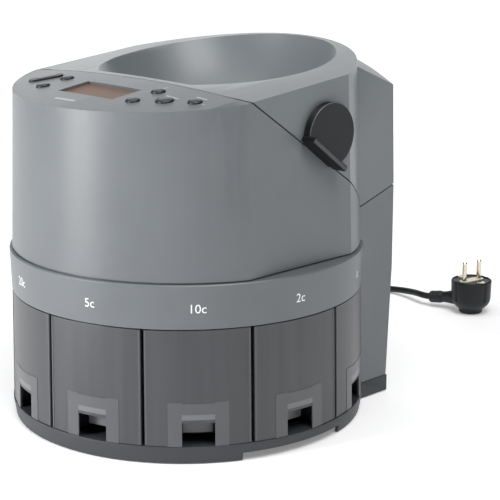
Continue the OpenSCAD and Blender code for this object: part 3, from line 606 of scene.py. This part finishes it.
def rounded_copy(node: str, name: str, finish: Finish, width_mm: float) -> bpy.types.Object:
    """Copies a node's solid, joins its triangles and rounds its edges.

    Args:
        node: name of the CAD node.
        name: name of the new piece.
        finish: what it is made of.
        width_mm: size of the rounding in millimetres, or zero for none.

    Returns:
        The piece, which replaces the node and rides on its body.
    """
    source = frame["nodes"][node]
    mesh = source.data.copy()
    work = bmesh.new()
    work.from_mesh(mesh)
    bmesh.ops.remove_doubles(work, verts=work.verts, dist=MERGE_COPY)
    bmesh.ops.dissolve_degenerate(work, edges=work.edges, dist=TINY)
    bmesh.ops.dissolve_limit(work, angle_limit=math.radians(FLAT_DEG), verts=work.verts,
                             edges=work.edges)
    work.to_mesh(mesh)
    work.free()
    mesh.name = name
    mesh.materials.clear()
    mesh.materials.append(PALETTE.get(finish))
    mesh.polygons.foreach_set("material_index", np.zeros(len(mesh.polygons), np.int32))
    mesh.polygons.foreach_set("use_smooth", np.ones(len(mesh.polygons), bool))
    piece = bpy.data.objects.new(name, mesh)
    bpy.context.scene.collection.objects.link(piece)
    if width_mm > 0:
        bevel = piece.modifiers.new("edge_radius", "BEVEL")
        bevel.width = width_mm * MM
        bevel.segments = BEVEL_STEPS
        bevel.limit_method = "ANGLE"
        bevel.angle_limit = math.radians(BEVEL_DEG)
        bevel.harden_normals = True
        bevel.use_clamp_overlap = True
    mesh.set_sharp_from_angle(angle=math.radians(BEVEL_DEG))
    adopt(piece, node)
    return piece


def adopt(piece: bpy.types.Object, node: str) -> None:
    """Makes a piece stand for a node, and ride where it rides.

    Args:
        piece: the new piece.
        node: name of the CAD node.
    """
    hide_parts(node)
    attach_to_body(piece, frame["nodes"][node]["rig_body"])
    log.info("%s stands for %s", piece.name, node)


def attach(piece: bpy.types.Object, body: str) -> None:
    """Makes a new piece ride on its body."""
    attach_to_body(piece, body)


# ---------------------------------------------------------------- camera, lights, floor

@dataclass(frozen=True)
class SoftBox:
    """One soft box, a glowing rectangle that points at aim."""

    name: str
    place: tuple[float, float, float]
    size: tuple[float, float]
    watts: float
    aim: tuple[float, float, float] = (0.0, 0.0, 0.15)

    def build(self) -> None:
        """Adds the light."""
        data = bpy.data.lights.new(self.name, "AREA")
        data.shape = "RECTANGLE"
        data.size, data.size_y = self.size
        data.energy = self.watts
        lamp = bpy.data.objects.new(self.name, data)
        lamp.location = self.place
        run = Vector(self.aim) - Vector(self.place)
        lamp.rotation_euler = run.to_track_quat("-Z", "Y").to_euler()
        bpy.context.scene.collection.objects.link(lamp)


@dataclass
class Studio:
    """Camera at a product shot's height, soft lights and a pale floor."""

    eye: tuple[float, float, float] = (0.94536, -0.86658, 0.45854)
    forward: tuple[float, float, float] = (-0.687135, 0.683133, -0.247335)
    right: tuple[float, float, float] = (0.705039, 0.709169, 0.0)
    lens: float = 115.2
    sensor_width: float = 36.0
    far_clip: float = 200.0
    world_glow: float = 0.02
    floor_half: float = 60.0
    lights: tuple[SoftBox, ...] = (
        SoftBox("soft_left_front", (-0.52, -1.42, 0.62), (0.5, 1.3), 29.0),
        SoftBox("soft_back", (-1.25, 1.35, 0.75), (1.6, 0.8), 6.0, (0.0, 0.0, 0.25)),
        SoftBox("soft_right_top", (1.35, 0.1, 1.5), (1.0, 1.2), 6.5),
        SoftBox("soft_top", (0.0, 0.0, 1.9), (1.5, 1.5), 15.0),
        SoftBox("soft_right_front", (0.9, -0.3, 1.7), (0.9, 0.9), 17.5))

    def camera(self) -> None:
        """Places the camera."""
        data = bpy.data.cameras.new("camera")
        data.lens = self.lens
        data.sensor_width = self.sensor_width
        data.clip_end = self.far_clip
        forward = Vector(self.forward).normalized()
        right = Vector(self.right).normalized()
        up = right.cross(forward)
        turn = Matrix((right, up, -forward)).transposed().to_4x4()
        camera = bpy.data.objects.new("camera", data)
        camera.matrix_world = Matrix.Translation(self.eye) @ turn
        bpy.context.scene.collection.objects.link(camera)
        bpy.context.scene.camera = camera

    def build(self) -> None:
        """Builds the world, lights and floor."""
        scene = bpy.context.scene
        scene.view_settings.view_transform = "Standard"
        world = bpy.data.worlds.new("studio")
        world.use_nodes = True
        world.node_tree.nodes["Background"].inputs["Color"].default_value = WHITE
        world.node_tree.nodes["Background"].inputs["Strength"].default_value = self.world_glow
        scene.world = world
        for light in self.lights:
            light.build()
        corners = np.array([[-1, -1, 0], [1, -1, 0], [1, 1, 0], [-1, 1, 0]], float)
        floor = mesh_object("floor", self.floor_half * corners, np.array([[0, 1, 2, 3]]),
                            Finish.FLOOR)
        log.info("studio built")


# ---------------------------------------------------------------- mains lead

@dataclass
class MainsLead:
    """Black lead from the gland, wound up behind the machine, to its plug.

    start runs from the gland to the top of the coil, and tail from its bottom to the plug.
    """

    diameter: float = 0.0064
    coil_centre: tuple[float, float] = (-0.110, 0.262)
    coil_radius: float = 0.035
    turns: float = 5.25
    top: float = 0.037
    bottom: float = 0.0034
    coil_steps: int = 40
    curve_steps: int = 6
    corners: int = 14
    start: list[tuple[float, float, float]] = field(default_factory=lambda: [
        (-0.020, 0.164, 0.0306), (-0.020, 0.178, 0.0298), (-0.028, 0.202, 0.0305),
        (-0.048, 0.219, 0.033), (-0.075, 0.2265, 0.036), (-0.110, 0.227, 0.037)])
    tail: list[tuple[float, float, float]] = field(default_factory=lambda: [
        (-0.145, 0.262, 0.0034), (-0.146, 0.292, 0.0034), (-0.142, 0.322, 0.0034),
        (-0.133, 0.349, 0.0034), (-0.118, 0.367, 0.0036), (-0.098, 0.375, 0.0044),
        (-0.078, 0.3752, 0.0066), (-0.062, 0.3718, 0.0086), (-0.052, 0.3684, 0.0098),
        (-0.044, 0.3668, 0.010), (-0.0364, 0.3682, 0.010), (-0.0306, 0.3698, 0.0105)])

    def route(self) -> np.ndarray:
        """Path of the lead: two smooth runs joined by a coil that sinks a diameter a turn.

        Returns:
            Points in metres.
        """
        first = catmull(np.array(self.start), self.curve_steps)
        steps = int(self.turns * self.coil_steps)
        angle = np.linspace(-math.pi / 2, -math.pi / 2 - self.turns * 2 * math.pi, steps)
        height = np.linspace(self.top, self.bottom, steps)
        cx, cy = self.coil_centre
        coil = np.stack([cx + self.coil_radius * np.cos(angle),
                         cy + self.coil_radius * np.sin(angle), height], -1)
        last = catmull(np.array(self.tail), self.curve_steps)
        return np.vstack([first[:-1], coil, last[1:]])

    def build(self) -> None:
        path = self.route()
        points, faces = tube(path, self.diameter / 2, self.corners)
        lead = mesh_object("mains_cord", points, faces, Finish.CORD, ROUND_DEG)
        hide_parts("mains_lead", "lead_coil")
        attach(lead, "chassis")
        parts = Plug().build()
        gland = rounded_copy("cable_gland", "strain_relief", Finish.CORD, 0.3)


@dataclass
class Plug:
    """Moulded angled plug with two round pins, earth clips and grip grooves.

    pin_turn and relief_turn are in degrees. bridge, clip and hole give a length, a width and a
    thickness, and the two _out fields how far each lies from the plug's middle.
    """

    centre: tuple[float, float] = (0.006, 0.380)
    radius: float = 0.0200
    height: float = 0.034
    pin_turn: float = -10.0
    relief_turn: float = 15.6
    relief_length: float = 0.044
    relief_top: float = 0.0139
    relief_low: float = 0.0099
    groove_depth: float = 0.0013
    groove_half: float = 0.0017
    groove_low: float = 0.0145
    groove_fade: float = 0.0006
    groove_rim: float = 0.0022
    corners: int = 192
    profile_steps: int = 5
    relief_steps: int = 90
    relief_corners: int = 40
    relief_root: float = 0.009
    ring_places: tuple[float, ...] = (0.0040, 0.0066, 0.0092)
    ring_half: float = 0.0004
    ring_depth: float = 0.0004
    insert_sink: float = 0.0011
    bridge: tuple[float, float, float] = (0.0285, 0.0100, 0.0008)
    clip: tuple[float, float, float] = (0.0086, 0.0070, 0.0012)
    clip_out: float = 0.0139
    hole: tuple[float, float, float] = (0.0042, 0.0040, 0.00135)
    hole_out: float = 0.0118

    def frame_at(self, turn_deg: float) -> Matrix:
        """Frame on the floor under the plug, turned about its upright axis.

        Args:
            turn_deg: the turn in degrees.

        Returns:
            The frame.
        """
        return (Matrix.Translation((*self.centre, 0.0))
                @ Matrix.Rotation(math.radians(turn_deg), 4, "Z"))

    def shell(self) -> tuple[np.ndarray, np.ndarray]:
        """Turned body with four upright grooves.

        The radius is the profile's, less the groove depth times a smooth bump in the angle
        from each groove, times a smooth window in height.

        Returns:
            Points and faces.
        """
        r, h = self.radius, self.height
        # Radius and height, from the underside up the bell, over the rim and into the face
        knots = np.array([[0.0105, 0.0003], [0.0116, 0.0012], [0.0120, 0.0040],
                          [0.0148, 0.0066], [0.0176, 0.0096], [0.0192, 0.0130], [0.0196, 0.0170],
                          [0.0198, 0.0240], [r, 0.0310], [r, h - 0.0012], [r - 0.0004, h - 0.0004],
                          [r - 0.0013, h], [r - 0.0024, h], [r - 0.0030, h - 0.0009],
                          [r - 0.0042, h - 0.0011]])
        profile = catmull(knots, self.profile_steps)
        t = np.linspace(0.0, 2 * np.pi, self.corners, endpoint=False)
        away = np.abs((t + np.pi / 4) % (np.pi / 2) - np.pi / 4) * r
        bump = 1.0 / (1.0 + (away / self.groove_half) ** 6)
        height = profile[:, 1][:, None]
        window = 1.0 / (1.0 + np.exp((self.groove_low - height) / self.groove_fade))
        outer = profile[:, 0][:, None] > r - self.groove_rim
        radius = profile[:, 0][:, None] - self.groove_depth * bump * window * outer
        rings = np.stack([radius * np.cos(t), radius * np.sin(t), height + 0 * t], -1)
        return loft(moved(rings, self.frame_at(self.pin_turn)))

    def relief(self) -> tuple[np.ndarray, np.ndarray]:
        """Strain relief: a collar with three flex rings, a waist, then a flare to the body.

        The radius runs straight from knot to knot along the relief, less a narrow bell curve
        at each ring.

        Returns:
            Points and faces.
        """
        tip = self.frame_at(self.relief_turn) @ Vector((-self.relief_length, 0, self.relief_low))
        root = self.frame_at(self.relief_turn) @ Vector((-self.relief_root, 0, self.relief_top))
        s = np.linspace(0.0, 1.0, self.relief_steps)
        path = np.array(tip) + s[:, None] * (np.array(root) - np.array(tip))
        reach = s * float((root - tip).length)
        knots_s = np.array([0.0, 0.0006, 0.0018, 0.0110, 0.0128, 0.0150, 0.0200, 0.0260, 0.035])
        knots_r = np.array([0.0046, 0.0055, 0.0060, 0.0063, 0.0059, 0.0054, 0.0061, 0.0070,
                            0.0078])
        radius = np.interp(reach, knots_s, knots_r)
        rings = np.exp(-((reach[:, None] - np.array(self.ring_places)) / self.ring_half) ** 2)
        return tube(path, radius - self.ring_depth * rings.sum(1), self.relief_corners)

    def fittings(self) -> list[bpy.types.Object]:
        """Cream bridge round the pins, two earth clips and the earth hole.

        Returns:
            The pieces.
        """
        level = self.height - self.insert_sink
        across = self.frame_at(self.pin_turn)
        length, width, thick = self.bridge
        made = [mesh_object("plug_bridge", *slab(pill(length, width)[:, ::-1], level,
                                                 level + thick, across), Finish.INSERT)]
        plates = {"earth_clip_near": (self.clip_out, self.clip, Finish.INSERT),
                  "earth_clip_far": (-self.clip_out, self.clip, Finish.INSERT),
                  # The earth hole is a flat near-black plate: painted shade for its depth
                  "earth_hole": (self.hole_out, self.hole, Finish.GROOVE)}
        for name, (out, (length, width, thick), finish) in plates.items():
            place = across @ Matrix.Translation((out, 0.0, 0.0))
            plate = slab(pill(length, width), level, level + thick, place)
            made.append(mesh_object(name, *plate, finish))
        return made

    def build(self) -> list[bpy.types.Object]:
        """Builds the plug's pieces.

        Returns:
            The pieces that go with the lead.
        """
        body = mesh_object("plug_shell", *self.shell(), Finish.PLUG, 50.0)
        adopt(body, "plug_body")
        made = [mesh_object("plug_relief", *self.relief(), Finish.PLUG, 50.0)] + self.fittings()
        for piece in made:
            attach(piece, "chassis")
        pins = rounded_copy("plug_pins", "plug_contacts", Finish.PIN, 0.4)
        return [body, pins] + made


# ---------------------------------------------------------------- machine pieces

@dataclass
class Labels:
    """Printed coin values on the ring, one over each cup.

    low_r is the ring's radius at the height low_z, and slope how much it grows as it rises.
    """

    values: tuple[str, ...] = ("1c", "2c", "10c", "5c", "20c", "1€", "50c", "2€")
    pitch_deg: float = FAN_PITCH_DEG
    first_deg: float = FAN_FIRST_DEG
    height: float = 0.1232
    size: float = 0.0098
    low_r: float = 0.144
    low_z: float = 0.1067
    slope: float = 1.0 / 33.4
    middle_share: float = 0.36
    ink: float = 0.00008
    curve_steps: int = 6

    def build(self) -> None:
        """Wraps flat text round the ring: x becomes an angle, y a height."""
        for index, words in enumerate(self.values):
            curve = bpy.data.curves.new("value_text", "FONT")
            curve.body = words
            curve.size = self.size
            curve.align_x = "CENTER"
            curve.resolution_u = self.curve_steps
            flat = bpy.data.objects.new("value_text", curve)
            bpy.context.scene.collection.objects.link(flat)
            bpy.context.view_layer.update()
            mesh = bpy.data.meshes.new_from_object(flat)
            bpy.data.objects.remove(flat)
            co = np.empty(len(mesh.vertices) * 3)
            mesh.vertices.foreach_get("co", co)
            co = co.reshape(-1, 3)
            z = self.height + co[:, 1] - self.size * self.middle_share
            radius = self.low_r + (z - self.low_z) * self.slope + self.ink
            angle = math.radians(self.first_deg - self.pitch_deg * index) + co[:, 0] / radius
            placed = np.stack([radius * np.sin(angle), -radius * np.cos(angle), z], -1)
            mesh.vertices.foreach_set("co", placed.ravel())
            mesh.update()
            piece = link_mesh(f"coin_value_{index + 1}", mesh, Finish.MARK, ROUND_DEG)
            attach(piece, "chassis")
        log.info("coin values printed")


@dataclass
class Panel:
    """Keys and display on the sloping front of the housing.

    keys gives each key's place across and along the panel and its radius. Heights such as
    cap_low are over the panel's surface, and the film lies film_depth under it.
    """

    slope_deg: float = 7.912
    front: tuple[float, float] = (-0.138345, 0.2675)
    crown_r: float = 1.4700
    keys: dict[str, tuple[float, float, float]] = field(default_factory=lambda: {
        "key_left_front": (-0.059, 0.0405, 0.0054), "key_left_rear": (-0.059, 0.065, 0.0054),
        "key_right_front": (0.049, 0.0405, 0.0054), "key_right_rear": (0.048, 0.067, 0.0054),
        "key_start": (0.0705, 0.053, 0.0069), "key_outer": (0.092, 0.0635, 0.0054)})

    cap_share: float = 0.68
    cap_low: float = 0.0011
    cap_edge: float = 0.0015
    cap_crown: float = 0.0005
    dome_steps: int = 14
    cap_corners: int = 48
    arc_at: tuple[float, float, float] = (-0.0798, 0.0612, 66.5)
    arc_size: tuple[float, float] = (0.0170, 0.0032)
    arc_low: float = 0.0012
    arc_high: float = 0.0018
    film: tuple[float, float, float, float] = (-0.0347, 0.0347, 0.0324, 0.0678)
    film_depth: float = 0.0027
    film_thick: float = 0.0004
    wall_top: float = -0.0006
    ink: float = 0.00008
    ink_sink: float = 0.0002
    # Place across and along the panel, length, width and turn in degrees of each plain bar
    marks: dict[str, tuple[float, float, float, float, float]] = field(default_factory=lambda: {
        "bar_front": (-0.0035, 0.0180, 0.0230, 0.0034, 2.0),
        "mark_rear": (0.0454, 0.0772, 0.0042, 0.0018, 60.0),
        "mark_start": (0.0690, 0.0625, 0.0150, 0.0016, -5.0),
        "mark_outer": (0.0900, 0.0728, 0.0120, 0.0016, -2.0),
        "mark_side": (0.1015, 0.0630, 0.0026, 0.0016, 60.0)})

    def place(self, x: float, along: float, turn_deg: float = 0.0) -> Matrix:
        """Frame on the panel: origin on its surface, third axis square to it.

        The crown lowers it by x squared over twice the crown's radius, and leans it to suit.

        Args:
            x: place across the panel, from its middle.
            along: place up the slope, from its front edge.
            turn_deg: turn about the third axis.

        Returns:
            The frame.
        """
        tilt = Matrix.Rotation(math.radians(self.slope_deg), 4, "X")
        lean = Matrix.Rotation(math.asin(x / self.crown_r), 4, "Y")
        start = Matrix.Translation((0.0, self.front[0], self.front[1]))
        shift = Matrix.Translation((x, along, -x * x / (2 * self.crown_r)))
        return start @ tilt @ shift @ lean @ Matrix.Rotation(math.radians(turn_deg), 4, "Z")

    def display(self) -> None:
        """Builds the sunken film and the far walls of its recess, near black as painted shade."""
        x0, x1, y0, y1 = self.film
        thick = self.film_thick
        place = self.place(0.0, 0.0)
        sheet = np.array([[x0, y0], [x1, y0], [x1, y1], [x0, y1]])
        film = mesh_object("display_film", *slab(sheet, -self.film_depth - thick,
                                                 -self.film_depth, place), Finish.LCD)
        adopt(film, "lcd_window")
        left = np.array([[x0, y0], [x0 + thick, y0], [x0 + thick, y1], [x0, y1]])
        rear = np.array([[x0, y1 - thick], [x1, y1 - thick], [x1, y1], [x0, y1]])
        for name, wall in (("display_wall_left", left), ("display_wall_rear", rear)):
            piece = mesh_object(name, *slab(wall, -self.film_depth, self.wall_top, place),
                                Finish.SHADE)
            attach(piece, "chassis")

    def print_marks(self) -> None:
        """Prints plain bars by the keys and a pale bar in front of the display."""
        for name, (x, along, length, width, turn_deg) in self.marks.items():
            bar = mesh_object(name, *slab(pill(length, width), -self.ink_sink, self.ink,
                                          self.place(x, along, turn_deg)), Finish.PALE)
            attach(bar, "chassis")

    def caps(self) -> None:
        """Builds each key's cap: a dome, a quarter wave in its section, on a short skirt."""
        s = np.linspace(0.0, 1.0, self.dome_steps)
        for node, (x, along, key_radius) in self.keys.items():
            # Each key's own solid, near black: painted shade round its cap
            rounded_copy(node, node + "_stem", Finish.KEY_SHADE, 0.25)
            radius = key_radius * self.cap_share
            dome = np.stack([radius * np.sin(s * math.pi / 2),
                             self.cap_edge + self.cap_crown * np.cos(s * math.pi / 2)], -1)
            skirt = np.array([[radius, self.cap_low]])
            points, faces = turned(np.vstack([dome, skirt])[::-1], self.cap_corners,
                                   self.place(x, along))
            attach(mesh_object(node + "_cap", points, faces, Finish.KEY_CAP, 50.0),
                   node)

    def build(self) -> None:
        """Builds the caps, their near-black stems of painted shade, the display and the printed
        marks.
        """
        self.caps()
        rounded_copy("key_arc", "key_arc_stem", Finish.KEY_SHADE, 0.3)
        arc = slab(pill(*self.arc_size), self.arc_low, self.arc_high, self.place(*self.arc_at))
        attach(mesh_object("key_arc_cap", *arc, Finish.ARC_CAP, 50.0), "key_arc")
        self.display()
        self.print_marks()
        log.info("panel built")


@dataclass
class Machine:
    """Every node of the machine that is finished from its own solid.

    Each row gives the finish and the size of the edge rounding in millimetres.
    """

    plain: dict[str, tuple[Finish, float]] = field(default_factory=lambda: {
        "base_tray": (Finish.BASE, 0.5), "bay_core": (Finish.CORE, 0.0),
        "label_ring": (Finish.RING, 0.4), "sorter_floor": (Finish.CORE, 0.0),
        "main_housing": (Finish.SHELL, 0.45),
        "hopper_cover": (Finish.HOPPER, 0.45),
        "latch_bush": (Finish.BLACK, 0.2),
        "latch_collar": (Finish.STEEL, 0.2), "feed_spout": (Finish.NATURAL, 0.3),
        "hinge_pin": (Finish.STEEL, 0.2), "coin_chutes": (Finish.NATURAL, 0.2),
        "drive_plate": (Finish.STEEL, 0.2), "sorting_deck": (Finish.NATURAL, 0.2),
        "sorting_rail": (Finish.STEEL, 0.2), "coin_sensor": (Finish.BLACK, 0.3),
        "bearing_upper": (Finish.BEARING, 0.1), "bearing_lower": (Finish.BEARING, 0.1),
        "drive_motor": (Finish.CAN, 0.3), "motor_pulley": (Finish.ALUMINIUM, 0.2),
        "drive_belt": (Finish.BELT, 0.1), "disc_spindle": (Finish.ALUMINIUM, 0.2),
        "sorting_disc": (Finish.DISC, 0.2), "panel_board": (Finish.BOARD, 0.1),
        "lcd_module": (Finish.STEEL, 0.2), "power_supply": (Finish.ALUMINIUM, 0.3),
        "switch_frame": (Finish.BLACK, 0.3), "switch_rocker": (Finish.BLACK, 0.3),
        "foot_fr": (Finish.FOOT, 0.5), "foot_fl": (Finish.FOOT, 0.5),
        "foot_rr": (Finish.FOOT, 0.5), "foot_rl": (Finish.FOOT, 0.5)})

    def build(self) -> None:
        """Rounds and dresses each node."""
        for node, (finish, width) in self.plain.items():
            rounded_copy(node, node + "_body", finish, width)
        log.info("machine pieces built")


@dataclass
class Cups:
    """Eight coin cups with a finger pocket low in each front wall.

    flare is how far a cup's solid is carried out for each metre under its rim, and fall how
    far its wall then leans out in the same measure. The opening's upper edge goes from
    cut_top, where the solid has it, to opening_top.
    """

    count: int = 8
    pitch_deg: float = FAN_PITCH_DEG
    first_deg: float = FAN_FIRST_DEG
    low: float = 0.0147
    top: float = 0.106
    top_radius: float = 0.1436
    flare: float = 0.061
    fall: float = 0.019
    half_opening: float = 0.0125
    cut_top: float = 0.0327
    opening_top: float = 0.0358
    strip: float = 0.0106
    pane_top: float = 0.0497
    lip: float = 0.0042
    proud: float = 0.00025
    pane_gap: float = 0.001
    thick: float = 0.0008
    pane_steps: int = 12
    front_from: float = 0.130
    cut_reach: float = 0.0004
    # Across and in height: the strip of painted highlight down each cup's two edges
    highlight_across: tuple[float, float] = (0.0390, 0.0403)
    highlight_height: tuple[float, float] = (0.0156, 0.1052)
    back_height: tuple[float, float] = (0.0215, 0.0330)
    back_in: float = 0.0125
    rounding_mm: float = 0.35

    def wall(self, turn_deg: float, across: tuple[float, float], height: tuple[float, float],
             proud: float) -> tuple[np.ndarray, np.ndarray]:
        """Thin pane on a cup's front wall.

        point(a, z) lies at the wall's radius at z, plus or minus half the thickness, and at
        the angle a from the cup's middle; the ring of four corners is carried along a.

        Args:
            turn_deg: direction of the cup's middle.
            across: first and last place across the wall, in metres from its middle.
            height: lowest and highest place.
            proud: how far the pane stands out of the wall.

        Returns:
            Points and faces.
        """
        a = math.radians(turn_deg) + np.linspace(*across, self.pane_steps) / self.top_radius
        z = np.array([height[0], height[0], height[1], height[1]])
        out = np.array([proud - self.thick, proud, proud, proud - self.thick])
        radius = self.top_radius + self.fall * (self.top - z) + out
        rings = np.stack([radius * np.sin(a)[:, None], -radius * np.cos(a)[:, None],
                          z + 0 * a[:, None]], -1)
        return loft(rings)

    def spread(self, piece: bpy.types.Object) -> None:
        """Carries the front wall outwards by flare times the depth under the cup's rim.

        The upper edge of the opening rises to its place at the same time.

        Args:
            piece: copy of a cup's solid.
        """
        mesh = piece.data
        co = np.empty(len(mesh.vertices) * 3)
        mesh.vertices.foreach_get("co", co)
        co = co.reshape(-1, 3)
        radius = np.hypot(co[:, 0], co[:, 1])
        front = radius > self.front_from
        cut = front & (np.abs(co[:, 2] - self.cut_top) < self.cut_reach)
        co[:, 2] = np.where(cut, self.opening_top, co[:, 2])
        push = np.where(front, self.flare * (self.top - co[:, 2]), 0.0)
        co[:, :2] *= (1.0 + push / radius)[:, None]
        mesh.vertices.foreach_set("co", co.ravel())
        mesh.update()

    def panes(self) -> dict[str, tuple[tuple[float, float], tuple[float, float], float, Finish]]:
        """Panes of one cup, round its opening and down its two edges, all painted lighter than the
        wall as painted light.

        Returns:
            Name of each to its place across, its heights, how far it stands out and its finish.
        """
        half, outer = self.half_opening, self.half_opening + self.strip
        near, far = self.highlight_across
        lip_top = self.opening_top + self.lip
        strip = (self.low, self.pane_top)
        return {"strip_left": ((-outer, -half), strip, self.proud, Finish.CUP_PANE),
                "strip_right": ((half, outer), strip, self.proud, Finish.CUP_PANE),
                "pane": ((-half, half), (lip_top, self.pane_top - self.pane_gap), self.proud,
                         Finish.CUP_PANE),
                "lip": ((-half, half), (self.opening_top, lip_top), self.proud, Finish.CUP_LIP),
                "edge_highlight_left": ((-far, -near), self.highlight_height, self.proud, Finish.CUP_PANE),
                "edge_highlight_right": ((near, far), self.highlight_height, self.proud, Finish.CUP_PANE),
                "pocket_back": ((-half, half), self.back_height, -self.back_in, Finish.CUP_LIP)}

    def build(self) -> None:
        """Builds each cup with the panes round its opening."""
        for index in range(1, self.count + 1):
            node = f"cup_{index}"
            self.spread(rounded_copy(node, node + "_shell", Finish.CUP, self.rounding_mm))
            turn = self.first_deg - self.pitch_deg * (index - 1)
            for name, (across, height, proud, finish) in self.panes().items():
                points, faces = self.wall(turn, across, height, proud)
                attach(mesh_object(f"{node}_{name}", points, faces, finish), node)
        log.info("cups built")


@dataclass
class Knob:
    """Round latch knob cut off along the seam, with a bar to grip along the cut.

    Its foot leans a little to the front of its face, and its sides and grip bar are near black,
    painted shade under its edge. skin is the thickness of the face plate, line the dark strip
    over the grip bar, painted shade where the bar meets the face, and pad the lighter plate on
    the bar's end, painted light on its lit face. edge_span picks the points of the outline that
    the pale tube of painted highlight follows.
    """

    axis: tuple[float, float] = (0.030, 0.240911)
    foot: float = 0.1288
    face: float = 0.1331
    radius: float = 0.0254
    chord: float = 0.0189
    slope_deg: float = 37.0
    grip_out: float = 0.1413
    grip_left: float = -0.0236
    grip_right: float = 0.0218
    grip_high: float = 0.0036
    lean: float = 0.0020
    corners: int = 96
    skin: float = 0.0006
    face_in: float = 0.0007
    edge_sink: float = 0.0004
    edge_radius: float = 0.00042
    edge_corners: int = 8
    edge_span: tuple[int, int] = (34, -2)
    line: float = 0.0009
    line_sink: float = 0.0002
    pad_low: float = 0.0004
    pad_gap: float = 0.0003
    pad_sink: float = 0.0001
    pad_rise: float = 0.0004

    def place(self) -> Matrix:
        """Frame on the knob's axis: first axis along the cut, second away from it, third out.

        Returns:
            The frame.
        """
        t = math.radians(self.slope_deg)
        turn = Matrix(((0.0, 0.0, 1.0), (math.cos(t), math.sin(t), 0.0),
                       (-math.sin(t), math.cos(t), 0.0))).to_4x4()
        return Matrix.Translation((0.0, *self.axis)) @ turn

    def outline(self, shrink: float) -> np.ndarray:
        """Circle cut off by the chord: an arc from one end of the chord round to the other.

        Args:
            shrink: how far the outline lies inside the knob's own.

        Returns:
            Points of the outline in its own plane.
        """
        r, low = self.radius - shrink, -self.chord + shrink
        start = math.asin(low / r)
        t = np.linspace(start, math.pi - start, self.corners)
        return np.stack([r * np.cos(t), r * np.sin(t)], -1)

    def bar(self, low: float, high: float) -> np.ndarray:
        """Rectangle along the cut between two heights over it.

        Args:
            low: its lower edge, from the cut.
            high: its upper edge, from the cut.

        Returns:
            Its four corners.
        """
        y0, y1 = -self.chord + low, -self.chord + high
        return np.array([[self.grip_left, y0], [self.grip_right, y0],
                         [self.grip_right, y1], [self.grip_left, y1]])

    def build(self) -> None:
        """Builds the disc, its face and edge, and the grip bar."""
        place = self.place()
        step = np.ones((self.corners, 1))
        flat = np.concatenate([self.outline(0.0), 0 * step], 1)
        back = self.face - self.skin
        rings = moved(np.stack([flat + [0.0, 0.0, self.foot], flat + [0.0, 0.0, back]]), place)
        rings[0, :, 1] -= self.lean
        # The disc's sides in near-black painted shade
        adopt(mesh_object("knob_disc", *loft(rings), Finish.KNOB_SHADED), "latch_knob")
        rim = np.concatenate([self.outline(self.skin), (self.face - self.edge_sink) * step], 1)
        high, out = self.grip_high, self.grip_out
        line = self.bar(high, high + self.line)
        pad = self.bar(self.pad_low, high - self.pad_gap)
        pieces = {
            "knob_face": (slab(self.outline(self.face_in), back, self.face, place),
                          Finish.KNOB, SHARP_DEG),
            # A pale tube along the face's edge: a painted highlight
            "knob_edge": (tube(moved(rim[slice(*self.edge_span)], place), self.edge_radius,
                               self.edge_corners), Finish.KNOB_HIGHLIGHT, ROUND_DEG),
            # The grip bar in near-black painted shade
            "grip_bar": (slab(self.bar(0.0, high), self.foot, out, place),
                         Finish.KNOB_SHADED, SHARP_DEG),
            # A near-black strip: painted shade where the bar meets the face
            "grip_line": (slab(line, self.foot, out - self.line_sink, place),
                          Finish.GROOVE, SHARP_DEG),
            # A lighter plate on the bar's face: painted light
            "grip_face": (slab(pad, out - self.pad_sink, out + self.pad_rise, place),
                          Finish.KNOB_LIT_GRIP, SHARP_DEG)}
        for name, (skin, finish, sharp_deg) in pieces.items():
            attach(mesh_object(name, *skin, finish, sharp_deg), "latch")
        log.info("knob built")


def main() -> None:
    """Builds the scene in order and reports each piece."""
    logging.basicConfig(level=logging.INFO, format="%(name)s: %(message)s")
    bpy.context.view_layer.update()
    studio = Studio()
    studio.camera()
    MainsLead().build()
    Machine().build()
    Cups().build()
    Knob().build()
    Panel().build()
    Labels().build()
    studio.build()


if __name__ == "__main__":
    main()
